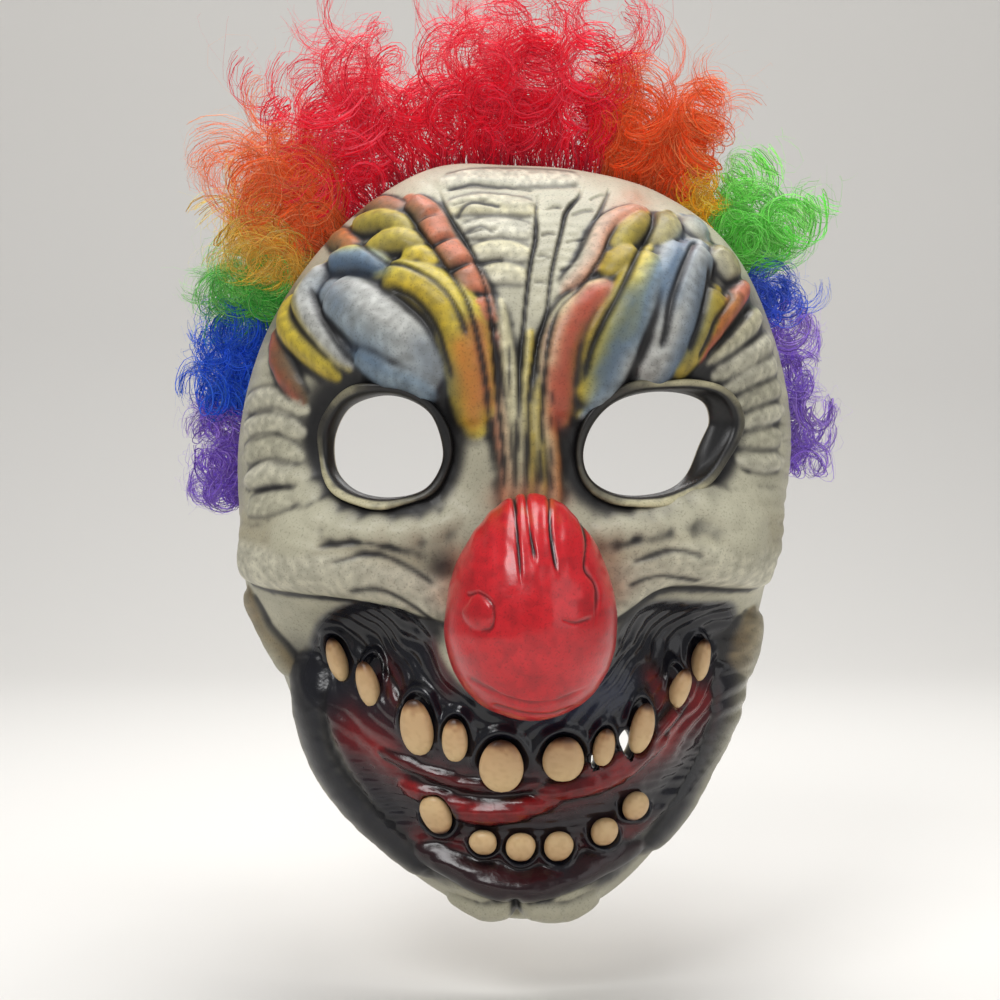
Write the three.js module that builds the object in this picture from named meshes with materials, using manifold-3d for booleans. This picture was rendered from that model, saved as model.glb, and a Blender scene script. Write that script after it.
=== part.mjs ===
// Horror clown mask: a moulded latex face with a hollow nose, set-in teeth, a wig band with
// wefts of curly hair behind its rim, and an elastic strap round the back of the head.
// Millimetres, +Z up, the face looks along -Y. The origin lies between the eyes, on the inside.

import * as THREE from "three";
import { mergeVertices } from "three/addons/utils/BufferGeometryUtils.js";
import Module from "manifold-3d";

const wasm = await Module();
wasm.setup();

// Driving dimensions, mm
const FACE_WIDTH = 212;
const FACE_HEIGHT = 276;
const FACE_TOP = 102; // the rim's top above the eyes
const HEAD_DEPTH = 98; // from the brow's inside back to the rim at the temples
const LATEX = 3; // wall of the face and the nose
const RELIEF = 10; // height of the largest soft form, such as a brow or the bridge
const FOLD_HEIGHT = 8; // height of the largest skin fold
const FOLD_WIDTH = 10; // half the width of the largest skin fold
const FOLD_SINK = 1.2; // how deep a fold's edges are rooted in the wall
const NOSE_WIDTH = 57;
const NOSE_HEIGHT = 76;
const NOSE_DEPTH = 62;
const NOSE_OUT = 24; // from the brow's inside forward to the nose's middle
const NOSE_LEAN = 0.17; // how much narrower the egg is at its top
const NOSE_PLACE = { u: 0.044, v: -0.118 }; // shares of half the width and height
const NOSE_SIDES = 16;
const NOSE_RINGS = 10;
const TOOTH_WIDTH = 16;
const TOOTH_HEIGHT = 20;
const TOOTH_THICK = 7.5;
const TOOTH_PROUD = 1.4; // from the gum up to the tooth's middle
const TOOTH_CLEAR = 0.3; // round a tooth in its socket
const BAND_THICK = 1.8;
const BAND_INSIDE = 12; // how far the wig band reaches forward inside the rim
const BAND_BEHIND = 34; // how far it reaches back behind the rim
const BAND_TUCK = 0.4; // how far it is drawn in at the rim's edge
const BAND_PAST = { low: 4, high: 1 }; // degrees by which it runs past the first and last wefts
const SEAT_GAP = 0.95; // between the rim's inside and what is glued to it
const SEAT_SLOPE = 0.16; // how fast what is glued inside leans in, away from the rim
const WEFT_THICK = 2;
const WEFT_GAP = 0.3; // between the band and a weft, and between a weft and the rim's edge
const HAIR_LENGTH = 92; // the longest locks
const LOCK_RADIUS = 8.5;
const STRAP_WIDTH = 18;
const STRAP_THICK = 1.5;
const STRAP_DROP = 9; // from the face's middle down to the strap's middle
const STRAP_INSIDE = 20; // how far its ends reach forward inside the rim
const STRAP_BACK = 190; // the strap's back behind the brow
const STRAP_END_POINTS = 2;
const STRAP_BACK_POINTS = 16;

// Worked out from them
const HALF_WIDTH = FACE_WIDTH / 2;
const HALF_HEIGHT = FACE_HEIGHT / 2;
const MIDDLE = FACE_TOP - HALF_HEIGHT;
const STRAP_HEIGHT = MIDDLE - STRAP_DROP;

// How boxy the dome is, and how finely it is cut into facets
const BULGE = 2.4;
const FACETS_ACROSS = 24;
const FACETS_UP = 28;
const RIM_FADE = 0.12; // share of the reach over which folds die out towards the rim
const SLOPE_STEP = 0.5; // mm, or degrees of turn, over which a slope is measured
const HALVINGS = 40; // of the span in which a place on the wall is looked for
const WELD = 1e-4; // mm within which two corners are one

// The rim: turn in degrees from the mask's left ear (the viewer's right) up over the top,
// reach as a share of half the width and height, depth as a share of HEAD_DEPTH.
const RIM = [
  { turn: 0, reach: 0.97, depth: 1.0 },
  { turn: 15, reach: 1.05, depth: 1.0 },
  { turn: 30, reach: 1.09, depth: 0.97 },
  { turn: 45, reach: 1.11, depth: 0.93 },
  { turn: 60, reach: 1.07, depth: 0.88 },
  { turn: 75, reach: 1.02, depth: 0.84 },
  { turn: 90, reach: 1.0, depth: 0.82 },
  { turn: 105, reach: 1.03, depth: 0.84 },
  { turn: 120, reach: 1.03, depth: 0.88 },
  { turn: 135, reach: 1.03, depth: 0.93 },
  { turn: 150, reach: 1.03, depth: 0.97 },
  { turn: 165, reach: 1.01, depth: 1.0 },
  { turn: 180, reach: 0.97, depth: 1.0 },
  { turn: 190, reach: 0.96, depth: 0.97 },
  { turn: 200, reach: 0.91, depth: 0.92 },
  { turn: 212, reach: 0.9, depth: 0.82 },
  { turn: 225, reach: 0.92, depth: 0.71 },
  { turn: 240, reach: 0.94, depth: 0.59 },
  { turn: 255, reach: 0.97, depth: 0.47 },
  { turn: 270, reach: 1.0, depth: 0.41 },
  { turn: 285, reach: 1.01, depth: 0.47 },
  { turn: 300, reach: 0.98, depth: 0.59 },
  { turn: 315, reach: 0.93, depth: 0.71 },
  { turn: 328, reach: 0.92, depth: 0.82 },
  { turn: 340, reach: 0.92, depth: 0.92 },
  { turn: 350, reach: 0.93, depth: 0.97 },
];

// Soft forms, each a rounded swelling or hollow. Places and radii are shares of half the
// width (u, wide) and half the height (v, tall), and lift is a share of RELIEF.
const FORMS = [
  { name: "left_brow", u: -0.42, v: 0.56, wide: 0.36, tall: 0.2, lift: 0.9 },
  { name: "right_brow", u: 0.46, v: 0.58, wide: 0.36, tall: 0.21, lift: 0.9 },
  { name: "left_socket", u: -0.42, v: 0.25, wide: 0.29, tall: 0.2, lift: -0.9 },
  { name: "right_socket", u: 0.45, v: 0.26, wide: 0.33, tall: 0.2, lift: -0.9 },
  { name: "left_cheek", u: -0.66, v: 0.0, wide: 0.3, tall: 0.16, lift: 1.0 },
  { name: "right_cheek", u: 0.66, v: 0.02, wide: 0.3, tall: 0.16, lift: 1.0 },
  { name: "left_eye_bag", u: -0.44, v: 0.05, wide: 0.31, tall: 0.09, lift: 0.5 },
  { name: "right_eye_bag", u: 0.44, v: 0.05, wide: 0.31, tall: 0.09, lift: 0.5 },
  { name: "bridge", u: 0.02, v: 0.28, wide: 0.14, tall: 0.29, lift: 1.0 },
  { name: "muzzle", u: 0.02, v: -0.48, wide: 0.66, tall: 0.29, lift: 0.6 },
  { name: "left_hollow", u: -0.52, v: -0.25, wide: 0.24, tall: 0.14, lift: -1.3 },
  { name: "right_hollow", u: 0.58, v: -0.25, wide: 0.2, tall: 0.13, lift: -1.3 },
  { name: "chin", u: 0.02, v: -0.9, wide: 0.28, tall: 0.11, lift: 0.7 },
];

// Skin folds: from, mid and to are places on the face in the same shares, wide is a share of
// FOLD_WIDTH and high of FOLD_HEIGHT.
const FOLDS = [
  { name: "left_pillow", from: [-0.57, 0.63], mid: [-0.42, 0.54], to: [-0.25, 0.41], wide: 0.85, high: 0.9 },
  { name: "left_main", from: [-0.38, 0.66], mid: [-0.20, 0.55], to: [-0.12, 0.31], wide: 0.55, high: 1.0 },
  { name: "left_arc", from: [-0.69, 0.75], mid: [-0.69, 0.62], to: [-0.53, 0.46], wide: 0.36, high: 0.62 },
  { name: "left_rim", from: [-0.77, 0.67], mid: [-0.77, 0.55], to: [-0.58, 0.43], wide: 0.3, high: 0.56 },
  { name: "left_top", from: [-0.54, 0.82], mid: [-0.44, 0.83], to: [-0.33, 0.81], wide: 0.36, high: 0.5 },
  { name: "left_long", from: [-0.38, 0.92], mid: [-0.19, 0.71], to: [-0.09, 0.48], wide: 0.4, high: 0.56 },
  { name: "forehead_1", from: [-0.23, 0.94], mid: [-0.02, 0.95], to: [0.20, 0.94], wide: 0.3, high: 0.3 },
  { name: "forehead_2", from: [-0.22, 0.86], mid: [-0.08, 0.87], to: [0.07, 0.86], wide: 0.32, high: 0.34 },
  { name: "bridge_1", from: [-0.09, 0.50], mid: [-0.06, 0.37], to: [-0.03, 0.17], wide: 0.22, high: 0.45 },
  { name: "bridge_2", from: [-0.05, 0.64], mid: [-0.01, 0.41], to: [0.01, 0.17], wide: 0.24, high: 0.45 },
  { name: "bridge_3", from: [0.12, 0.63], mid: [0.09, 0.39], to: [0.12, 0.17], wide: 0.22, high: 0.5 },
  { name: "right_long", from: [0.42, 0.87], mid: [0.26, 0.72], to: [0.15, 0.61], wide: 0.3, high: 0.56 },
  { name: "right_ridge", from: [0.46, 0.83], mid: [0.33, 0.68], to: [0.21, 0.59], wide: 0.4, high: 0.56 },
  { name: "right_main", from: [0.29, 0.62], mid: [0.18, 0.51], to: [0.14, 0.28], wide: 0.58, high: 0.9 },
  { name: "right_brow", from: [0.44, 0.69], mid: [0.35, 0.55], to: [0.26, 0.39], wide: 0.76, high: 0.94 },
  { name: "right_pillow", from: [0.65, 0.78], mid: [0.51, 0.58], to: [0.41, 0.41], wide: 0.62, high: 0.9 },
  { name: "right_arc", from: [0.68, 0.65], mid: [0.58, 0.53], to: [0.51, 0.44], wide: 0.36, high: 0.62 },
  { name: "right_stripe", from: [0.84, 0.67], mid: [0.66, 0.56], to: [0.58, 0.45], wide: 0.26, high: 0.5 },
  { name: "right_temple", from: [0.87, 0.58], mid: [0.71, 0.51], to: [0.62, 0.43], wide: 0.26, high: 0.42 },
  { name: "left_temple", from: [-0.93, 0.40], mid: [-0.82, 0.38], to: [-0.73, 0.35], wide: 0.24, high: 0.35 },
  { name: "left_bag", from: [-0.71, 0.20], mid: [-0.46, 0.05], to: [-0.21, 0.04], wide: 0.4, high: 0.55 },
  { name: "right_bag", from: [0.26, 0.05], mid: [0.44, 0.08], to: [0.65, 0.14], wide: 0.4, high: 0.55 },
  { name: "left_cheek", from: [-0.88, -0.08], mid: [-0.55, -0.09], to: [-0.21, -0.15], wide: 0.7, high: 1.0 },
  { name: "right_cheek", from: [0.30, -0.15], mid: [0.49, -0.05], to: [0.83, -0.09], wide: 0.66, high: 1.0 },
  { name: "left_knob", from: [-0.90, -0.14], mid: [-0.88, -0.24], to: [-0.76, -0.36], wide: 0.5, high: 0.6 },
  { name: "right_knob", from: [0.83, -0.20], mid: [0.82, -0.28], to: [0.80, -0.38], wide: 0.6, high: 0.8 },
  { name: "left_jaw", from: [-0.73, -0.32], mid: [-0.61, -0.60], to: [-0.30, -0.85], wide: 0.7, high: 0.75 },
  { name: "right_jaw", from: [0.79, -0.34], mid: [0.70, -0.57], to: [0.46, -0.80], wide: 0.7, high: 0.75 },
  { name: "tongue_1", from: [-0.36, -0.60], mid: [-0.10, -0.65], to: [0.14, -0.62], wide: 0.5, high: 0.6 },
  { name: "tongue_2", from: [0.09, -0.62], mid: [0.30, -0.58], to: [0.52, -0.47], wide: 0.46, high: 0.6 },
  { name: "lower_lip", from: [-0.32, -0.79], mid: [0.02, -0.84], to: [0.42, -0.78], wide: 0.5, high: 0.6 },
  { name: "left_chin", from: [-0.22, -0.93], mid: [-0.10, -0.94], to: [-0.01, -0.90], wide: 0.6, high: 0.6 },
  { name: "right_chin", from: [0.04, -0.90], mid: [0.16, -0.94], to: [0.28, -0.91], wide: 0.6, high: 0.6 },
];

// A fold's section, seen along it: across and up are shares of its half width and height, and
// sunk counts FOLD_SINK below the skin.
const FOLD_SECTION = [
  { across: 1, up: 0, sunk: 1 },
  { across: 0.6, up: 0.8, sunk: 0 },
  { across: 0, up: 1, sunk: 0 },
  { across: -0.6, up: 0.8, sunk: 0 },
  { across: -1, up: 0, sunk: 1 },
];
const FOLD_STEP = 15; // mm of fold to a section
const FOLD_FEWEST = 3; // sections
const FOLD_MOST = 6;
const FOLD_TAPER = 0.6; // below 1, a fold swells to its full height soon after its ends
const FOLD_POINT = 0.3; // a fold's width at its ends, as a share of its width

// Eye holes: corners of each opening in shares of half the width and height, in order round it.
const EYES = [
  {
    name: "left",
    corners: [[-0.24, 0.26], [-0.28, 0.34], [-0.37, 0.38], [-0.47, 0.39],
      [-0.57, 0.36], [-0.63, 0.28], [-0.61, 0.20], [-0.53, 0.15],
      [-0.42, 0.13], [-0.31, 0.15], [-0.25, 0.20]],
  },
  {
    name: "right",
    corners: [[0.22, 0.24], [0.25, 0.32], [0.33, 0.37], [0.44, 0.40],
      [0.62, 0.40], [0.70, 0.37], [0.73, 0.31], [0.69, 0.23],
      [0.60, 0.17], [0.47, 0.14], [0.34, 0.14], [0.25, 0.18]],
  },
];
const LID_WIDTH = 3.4; // half the width of the rolled lid round an eye
const LID_HEIGHT = 3.6;
const LID_SPREAD = 1.1; // the lid's middle line against the hole's edge
const LID_SECTIONS = 12;
const EYE_SEGMENTS = 16;

// Teeth: the middle on the gum in shares of half the width and height, wide and tall as shares
// of TOOTH_WIDTH and TOOTH_HEIGHT, lean in degrees.
const UPPER_TEETH = [
  { u: -0.642, v: -0.31, wide: 0.45, tall: 0.82, lean: 15 },
  { u: -0.512, v: -0.359, wide: 0.54, tall: 0.86, lean: 12 },
  { u: -0.313, v: -0.442, wide: 0.76, tall: 1.03, lean: 5 },
  { u: -0.188, v: -0.468, wide: 0.58, tall: 0.78, lean: 0 },
  { u: -0.042, v: -0.531, wide: 0.98, tall: 0.96, lean: 0 },
  { u: 0.151, v: -0.515, wide: 0.94, tall: 0.82, lean: 0 },
  { u: 0.28, v: -0.49, wide: 0.49, tall: 0.68, lean: -10 },
  { u: 0.406, v: -0.451, wide: 0.56, tall: 0.93, lean: -10 },
  { u: 0.577, v: -0.374, wide: 0.45, tall: 0.75, lean: -15 },
  { u: 0.687, v: -0.315, wide: 0.42, tall: 0.79, lean: -5 },
];
const LOWER_TEETH = [
  { u: -0.25, v: -0.672, wide: 0.71, tall: 0.75, lean: 15 },
  { u: -0.098, v: -0.741, wide: 0.63, tall: 0.47, lean: 0 },
  { u: 0.02, v: -0.751, wide: 0.67, tall: 0.54, lean: 0 },
  { u: 0.141, v: -0.752, wide: 0.67, tall: 0.57, lean: 0 },
  { u: 0.292, v: -0.723, wide: 0.65, tall: 0.54, lean: -5 },
  { u: 0.393, v: -0.66, wide: 0.65, tall: 0.55, lean: -10 },
];
const TOOTH_SIDES = 7;
const TOOTH_RINGS = 4;

// Hair: each weft runs from one turn to another along the rim, and length is a share of
// HAIR_LENGTH. Bend is how far a lock curls over, in degrees.
const HAIR = [
  { name: "purple_right", from: 9, to: 31, locks: 2, length: 0.23, bend: 120, colour: 0x8a63b8 },
  { name: "blue_right", from: 31, to: 40, locks: 1, length: 0.27, bend: 60, colour: 0x3a56b4 },
  { name: "green_right", from: 40, to: 50, locks: 2, length: 0.54, bend: -120, colour: 0x7fd06a },
  { name: "yellow_right", from: 50, to: 56, locks: 1, length: 0.3, bend: 50, colour: 0xf0b41e },
  { name: "orange_right", from: 56, to: 72, locks: 3, length: 0.66, bend: -110, colour: 0xf47a28 },
  { name: "red", from: 72, to: 124, locks: 9, length: 1.0, bend: 105, colour: 0xe0203c },
  { name: "orange_left", from: 124, to: 133, locks: 2, length: 0.88, bend: 100, colour: 0xf07a2c },
  { name: "yellow_left", from: 133, to: 141, locks: 1, length: 0.62, bend: 90, colour: 0xd8b040 },
  { name: "green_left", from: 141, to: 148, locks: 1, length: 0.5, bend: 80, colour: 0x56a84c },
  { name: "blue_left", from: 148, to: 162, locks: 2, length: 0.43, bend: 120, colour: 0x1f4fb4 },
  { name: "purple_left", from: 162, to: 177, locks: 2, length: 0.33, bend: 110, colour: 0x6a3ca0 },
];
const HAIR_GAP_TURN = 0.12; // degrees kept free at each end of a weft
const HAIR_WEDGE = 4; // times the face's own reach, past the end of any lock
const WEFT_STEP = 6; // degrees of rim to a section of the weft and the band
const LOCK_SIDES = 5;
const LOCK_SECTIONS = 5;
const LOCK_ROOT = 1.2; // how deep a lock is rooted in its weft
const LOCK_TIP = 0.35; // a lock's radius at its tip, as a share of LOCK_RADIUS
const LOCK_SLIM = 0.55; // a short lock's radius, as a share of the longest lock's
const LOCK_RUN = 1.15; // a lock's length along its curl, against the length it reaches
const LOCK_THIN = 0.75; // its thickness at the root, as a share of its radius
const LOCK_SWELL = 0.45; // what its middle adds to that
const CURL_ASIDE = 0.6; // how far a curl goes along the rim, and
const CURL_BACK = 0.5; // how far it goes behind it, against how far it goes out
// Locks in turn along a weft: back is a share of BAND_BEHIND, reach of the weft's length and
// curl of its bend.
const LOCK_ROWS = [
  { back: 0.3, reach: 1, curl: 1 },
  { back: 0.68, reach: 0.88, curl: -0.85 },
  { back: 0.42, reach: 0.95, curl: -1 },
];

const LATEX_SKIN = { color: 0xb7b29a, roughness: 0.5, metalness: 0 };
const TOOTH_FINISH = { color: 0xc29c72, roughness: 0.45, metalness: 0 };
const CLOTH_FINISH = { color: 0xc77a48, roughness: 0.95, metalness: 0 };
const ELASTIC_FINISH = { color: 0x1a1a1c, roughness: 0.9, metalness: 0 };
const HAIR_ROUGHNESS = 0.6;

// A value of the RIM table at any turn, as a smooth closed curve through its rows.
function alongRim(turn, column) {
  const wrapped = ((turn % 360) + 360) % 360;
  const count = RIM.length;
  const at = RIM.findLastIndex((row) => row.turn <= wrapped);
  const [before, here, next, after] = [-1, 0, 1, 2].map((k) => RIM[(at + k + count) % count]);
  const span = (next.turn - here.turn + 360) % 360;
  const s = (wrapped - here.turn) / span;
  const [a, b, c, d] = [before, here, next, after].map((row) => row[column]);
  const square = 2 * a - 5 * b + 4 * c - d;
  const cube = 3 * b - a - 3 * c + d;
  return 0.5 * (2 * b + (c - a) * s + square * s * s + cube * s * s * s);
}

// The bare dome's outer skin at a place given in shares, and how near it is to the rim.
function domeAt(u, v) {
  const turn = THREE.MathUtils.radToDeg(Math.atan2(v, u));
  const reach = alongRim(turn, "reach");
  const spread = Math.hypot(u, v);
  const share = Math.min(spread / reach, 1);
  const pull = spread > reach ? reach / spread : 1;
  const rim = alongRim(turn, "depth") * HEAD_DEPTH;
  const y = rim - (rim + LATEX) * (1 - share ** BULGE) ** (1 / BULGE);
  const point = new THREE.Vector3(u * pull * HALF_WIDTH, y, MIDDLE + v * pull * HALF_HEIGHT);
  return { point, share };
}

// The way out of the dome at a point on it: the steepest rise of the superellipse's formula.
function outwardAt(point) {
  const level = (x, y, z) => {
    const u = x / HALF_WIDTH;
    const v = (z - MIDDLE) / HALF_HEIGHT;
    const turn = THREE.MathUtils.radToDeg(Math.atan2(v, u));
    const rim = alongRim(turn, "depth") * HEAD_DEPTH;
    const share = Math.hypot(u, v) / alongRim(turn, "reach");
    return share ** BULGE + Math.max(0, (rim - y) / (rim + LATEX)) ** BULGE;
  };
  const { x, y, z } = point;
  const e = SLOPE_STEP;
  return new THREE.Vector3(
    level(x + e, y, z) - level(x - e, y, z),
    level(x, y + e, z) - level(x, y - e, z),
    level(x, y, z + e) - level(x, y, z - e),
  ).normalize();
}

// A point over the face: the dome, raised by the soft forms and by lift, along its way out.
function onFace(u, v, lift = 0) {
  const { point, share } = domeAt(u, v);
  const fade = THREE.MathUtils.smoothstep(1 - share, 0, RIM_FADE);
  const forms = FORMS.reduce((sum, form) => {
    const across = (u - form.u) / form.wide;
    const up = (v - form.v) / form.tall;
    return sum + form.lift * RELIEF * Math.exp(-across * across - up * up);
  }, 0);
  return point.addScaledVector(outwardAt(point), forms * fade + lift);
}

// A closed mesh's triangles from lists of points and of corner numbers, turned to face outwards.
function closedGeometry(points, corners) {
  const volume = corners.reduce((sum, [a, b, c]) => {
    const cross = new THREE.Vector3().crossVectors(points[b], points[c]);
    return sum + points[a].dot(cross);
  }, 0);
  const facing = volume < 0 ? corners.map(([a, b, c]) => [a, c, b]) : corners;
  return new THREE.BufferGeometry().setFromPoints(points).setIndex(facing.flat());
}

// Rings of the same number of points joined into a tube. It closes on itself or is capped.
function loft(rings, closed = false) {
  const sides = rings[0].length;
  const corners = [];
  const joints = closed ? rings.length : rings.length - 1;
  for (let i = 0; i < joints; i++) {
    const here = i * sides;
    const next = ((i + 1) % rings.length) * sides;
    for (let k = 0; k < sides; k++) {
      const turn = (k + 1) % sides;
      corners.push([here + k, here + turn, next + turn], [here + k, next + turn, next + k]);
    }
  }
  if (!closed) {
    const last = (rings.length - 1) * sides;
    for (let k = 1; k < sides - 1; k++) {
      corners.push([0, k + 1, k], [last, last + k, last + k + 1]);
    }
  }
  return closedGeometry(rings.flat(), corners);
}

// A geometry as a solid that can be joined and cut.
function solidOf(geometry) {
  const bare = geometry.clone();
  bare.deleteAttribute("normal");
  bare.deleteAttribute("uv");
  const merged = mergeVertices(bare, WELD);
  const mesh = new wasm.Mesh({
    numProp: 3,
    vertProperties: merged.attributes.position.array,
    triVerts: new Uint32Array(merged.index.array),
  });
  return new wasm.Manifold(mesh);
}

// The largest body of a solid, without the bubbles that are sealed between folds.
function mainBody(solid) {
  return solid.decompose().sort((a, b) => b.volume() - a.volume())[0];
}

function geometryOf(solid) {
  const { vertProperties, triVerts, numProp } = solid.getMesh();
  const points = new Float32Array((vertProperties.length / numProp) * 3);
  for (let i = 0; i < points.length / 3; i++) {
    points.set(vertProperties.subarray(i * numProp, i * numProp + 3), i * 3);
  }
  const geometry = new THREE.BufferGeometry();
  geometry.setAttribute("position", new THREE.BufferAttribute(points, 3));
  return geometry.setIndex(new THREE.BufferAttribute(triVerts, 1));
}

function named(name, geometry, finish) {
  const mesh = new THREE.Mesh(geometry, new THREE.MeshStandardMaterial(finish));
  mesh.name = name;
  return mesh;
}

// A square of facets drawn out to the rim's outline, as a grid of points over the face.
function faceGrid(across, up, lift) {
  const points = [];
  for (let j = 0; j <= up; j++) {
    for (let i = 0; i <= across; i++) {
      const a = (2 * i) / across - 1;
      const b = (2 * j) / up - 1;
      const x = a * Math.sqrt(1 - (b * b) / 2);
      const z = b * Math.sqrt(1 - (a * a) / 2);
      const turn = Math.atan2(z, x);
      const spread = Math.min(Math.hypot(x, z), 1);
      const share = Math.sin((spread * Math.PI) / 2) ** (2 / BULGE);
      const reach = alongRim(THREE.MathUtils.radToDeg(turn), "reach") * share;
      points.push(onFace(reach * Math.cos(turn), reach * Math.sin(turn), lift));
    }
  }
  return points;
}

function gridCorners(across, up, start, flipped) {
  const corners = [];
  for (let j = 0; j < up; j++) {
    for (let i = 0; i < across; i++) {
      const a = start + j * (across + 1) + i;
      const [b, c, d] = [a + 1, a + across + 2, a + across + 1];
      if (flipped) corners.push([a, c, b], [a, d, c]);
      else corners.push([a, b, c], [a, c, d]);
    }
  }
  return corners;
}

function gridEdge(across, up) {
  const row = across + 1;
  const edge = [];
  for (let i = 0; i < across; i++) edge.push(i);
  for (let j = 0; j < up; j++) edge.push(j * row + across);
  for (let i = across; i > 0; i--) edge.push(up * row + i);
  for (let j = up; j > 0; j--) edge.push(j * row);
  return edge;
}

// The latex wall: a fine outer skin and one half as fine inside, joined along the rim.
function bareShell() {
  const [across, up] = [FACETS_ACROSS / 2, FACETS_UP / 2];
  const outer = faceGrid(FACETS_ACROSS, FACETS_UP, 0);
  const inner = faceGrid(across, up, -LATEX);
  const corners = gridCorners(FACETS_ACROSS, FACETS_UP, 0, false);
  corners.push(...gridCorners(across, up, outer.length, true));
  const outside = gridEdge(FACETS_ACROSS, FACETS_UP);
  const inside = gridEdge(across, up).map((k) => k + outer.length);
  inside.forEach((here, k) => {
    const next = inside[(k + 1) % inside.length];
    const [a, b, c] = [2 * k, 2 * k + 1, (2 * k + 2) % outside.length].map((n) => outside[n]);
    corners.push([b, a, here], [b, here, next], [c, b, next]);
  });
  return closedGeometry([...outer, ...inner], corners);
}

// The space inside the wall, drawn out behind the head, to trim what would stick into it.
function headSpace() {
  const [across, up] = [FACETS_ACROSS / 2, FACETS_UP / 2];
  const front = faceGrid(across, up, -LATEX);
  const back = front.map((p) => new THREE.Vector3(p.x, STRAP_BACK, p.z));
  const corners = gridCorners(across, up, 0, false);
  corners.push(...gridCorners(across, up, front.length, true));
  const edge = gridEdge(across, up);
  edge.forEach((here, k) => {
    const next = edge[(k + 1) % edge.length];
    const [behind, afterBehind] = [here + front.length, next + front.length];
    corners.push([here, behind, next], [next, behind, afterBehind]);
  });
  return closedGeometry([...front, ...back], corners);
}

// A fold's section at a place on the face, across a heading given in mm.
function foldRing(place, heading, halfWidth, height) {
  return FOLD_SECTION.map(({ across, up, sunk }) => {
    const u = place.x - (heading.y * across * halfWidth) / HALF_WIDTH;
    const v = place.y + (heading.x * across * halfWidth) / HALF_HEIGHT;
    return onFace(u, v, up * height - sunk * FOLD_SINK);
  });
}

function headingOf(curve, s) {
  const along = curve.getTangent(s);
  return new THREE.Vector2(along.x * HALF_WIDTH, along.y * HALF_HEIGHT).normalize();
}

// A fold that swells from both ends, along the curve through its three places.
function foldGeometry({ from, mid, to, wide, high }) {
  const [start, middle, end] = [from, mid, to].map(([u, v]) => new THREE.Vector2(u, v));
  const control = middle.clone().multiplyScalar(2);
  control.sub(start.clone().add(end).multiplyScalar(0.5));
  const curve = new THREE.QuadraticBezierCurve(start, control, end);
  const run = new THREE.Vector2((to[0] - from[0]) * HALF_WIDTH, (to[1] - from[1]) * HALF_HEIGHT);
  const wanted = Math.round(run.length() / FOLD_STEP);
  const sections = THREE.MathUtils.clamp(wanted, FOLD_FEWEST, FOLD_MOST);
  const rings = [];
  for (let i = 0; i <= sections; i++) {
    const s = i / sections;
    const swell = Math.sin(Math.PI * s) ** FOLD_TAPER;
    const halfWidth = wide * FOLD_WIDTH * (FOLD_POINT + (1 - FOLD_POINT) * swell);
    const height = high * FOLD_HEIGHT * swell - (FOLD_SINK / 2) * (1 - swell);
    rings.push(foldRing(curve.getPoint(s), headingOf(curve, s), halfWidth, height));
  }
  return loft(rings);
}

function eyeCurve({ corners }, spread = 1) {
  const places = corners.map(([u, v]) => new THREE.Vector2(u, v));
  const middle = places.reduce((sum, p) => sum.add(p), new THREE.Vector2());
  middle.divideScalar(places.length);
  const moved = places.map((p) => middle.clone().lerp(p, spread));
  return new THREE.CatmullRomCurve3(moved.map((p) => new THREE.Vector3(p.x, p.y, 0)), true);
}

function lidGeometry(eye) {
  const curve = eyeCurve(eye, LID_SPREAD);
  const rings = [];
  for (let i = 0; i < LID_SECTIONS; i++) {
    const s = i / LID_SECTIONS;
    rings.push(foldRing(curve.getPoint(s), headingOf(curve, s), LID_WIDTH, LID_HEIGHT));
  }
  return loft(rings, true);
}

// A bar of the eye's outline that runs through both sides of the face.
function eyeCutter(eye) {
  const outline = eyeCurve(eye).getSpacedPoints(EYE_SEGMENTS).slice(0, EYE_SEGMENTS);
  const places = outline.map((p) => new THREE.Vector2(p.x * HALF_WIDTH, p.y * HALF_HEIGHT));
  const shape = new THREE.Shape(places);
  const bar = new THREE.ExtrudeGeometry(shape, { depth: 2 * HEAD_DEPTH, bevelEnabled: false });
  bar.rotateX(Math.PI / 2);
  return bar.translate(0, HEAD_DEPTH, MIDDLE);
}

// The nose: an egg with its narrow end up, grown or shrunk evenly by a margin.
function noseGeometry(margin) {
  const egg = new THREE.SphereGeometry(1, NOSE_SIDES, NOSE_RINGS);
  egg.rotateX(Math.PI / 2);
  const places = egg.attributes.position;
  for (let i = 0; i < places.count; i++) {
    const height = places.getZ(i);
    const narrow = 1 - NOSE_LEAN * height;
    places.setX(i, places.getX(i) * (NOSE_WIDTH / 2 + margin) * narrow);
    places.setY(i, places.getY(i) * (NOSE_DEPTH / 2 + margin) * narrow);
    places.setZ(i, height * (NOSE_HEIGHT / 2 + margin));
  }
  return egg.translate(NOSE_PLACE.u * HALF_WIDTH, -NOSE_OUT, MIDDLE + NOSE_PLACE.v * HALF_HEIGHT);
}

// A tooth: a long egg laid on the gum, leaning to one side, grown by a margin for its socket.
function toothGeometry({ u, v, wide, tall, lean }, margin = 0) {
  const tooth = new THREE.SphereGeometry(1, TOOTH_SIDES, TOOTH_RINGS);
  tooth.scale(
    (wide * TOOTH_WIDTH) / 2 + margin,
    (tall * TOOTH_HEIGHT) / 2 + margin,
    TOOTH_THICK / 2 + margin,
  );
  const out = outwardAt(domeAt(u, v).point);
  const side = new THREE.Vector3(0, 0, 1).cross(out).normalize();
  const up = out.clone().cross(side);
  const axes = new THREE.Matrix4().makeBasis(side, up, out);
  tooth.rotateZ(THREE.MathUtils.degToRad(lean));
  tooth.applyMatrix4(axes);
  const seat = onFace(u, v, TOOTH_PROUD);
  return tooth.translate(seat.x, seat.y, seat.z);
}

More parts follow.
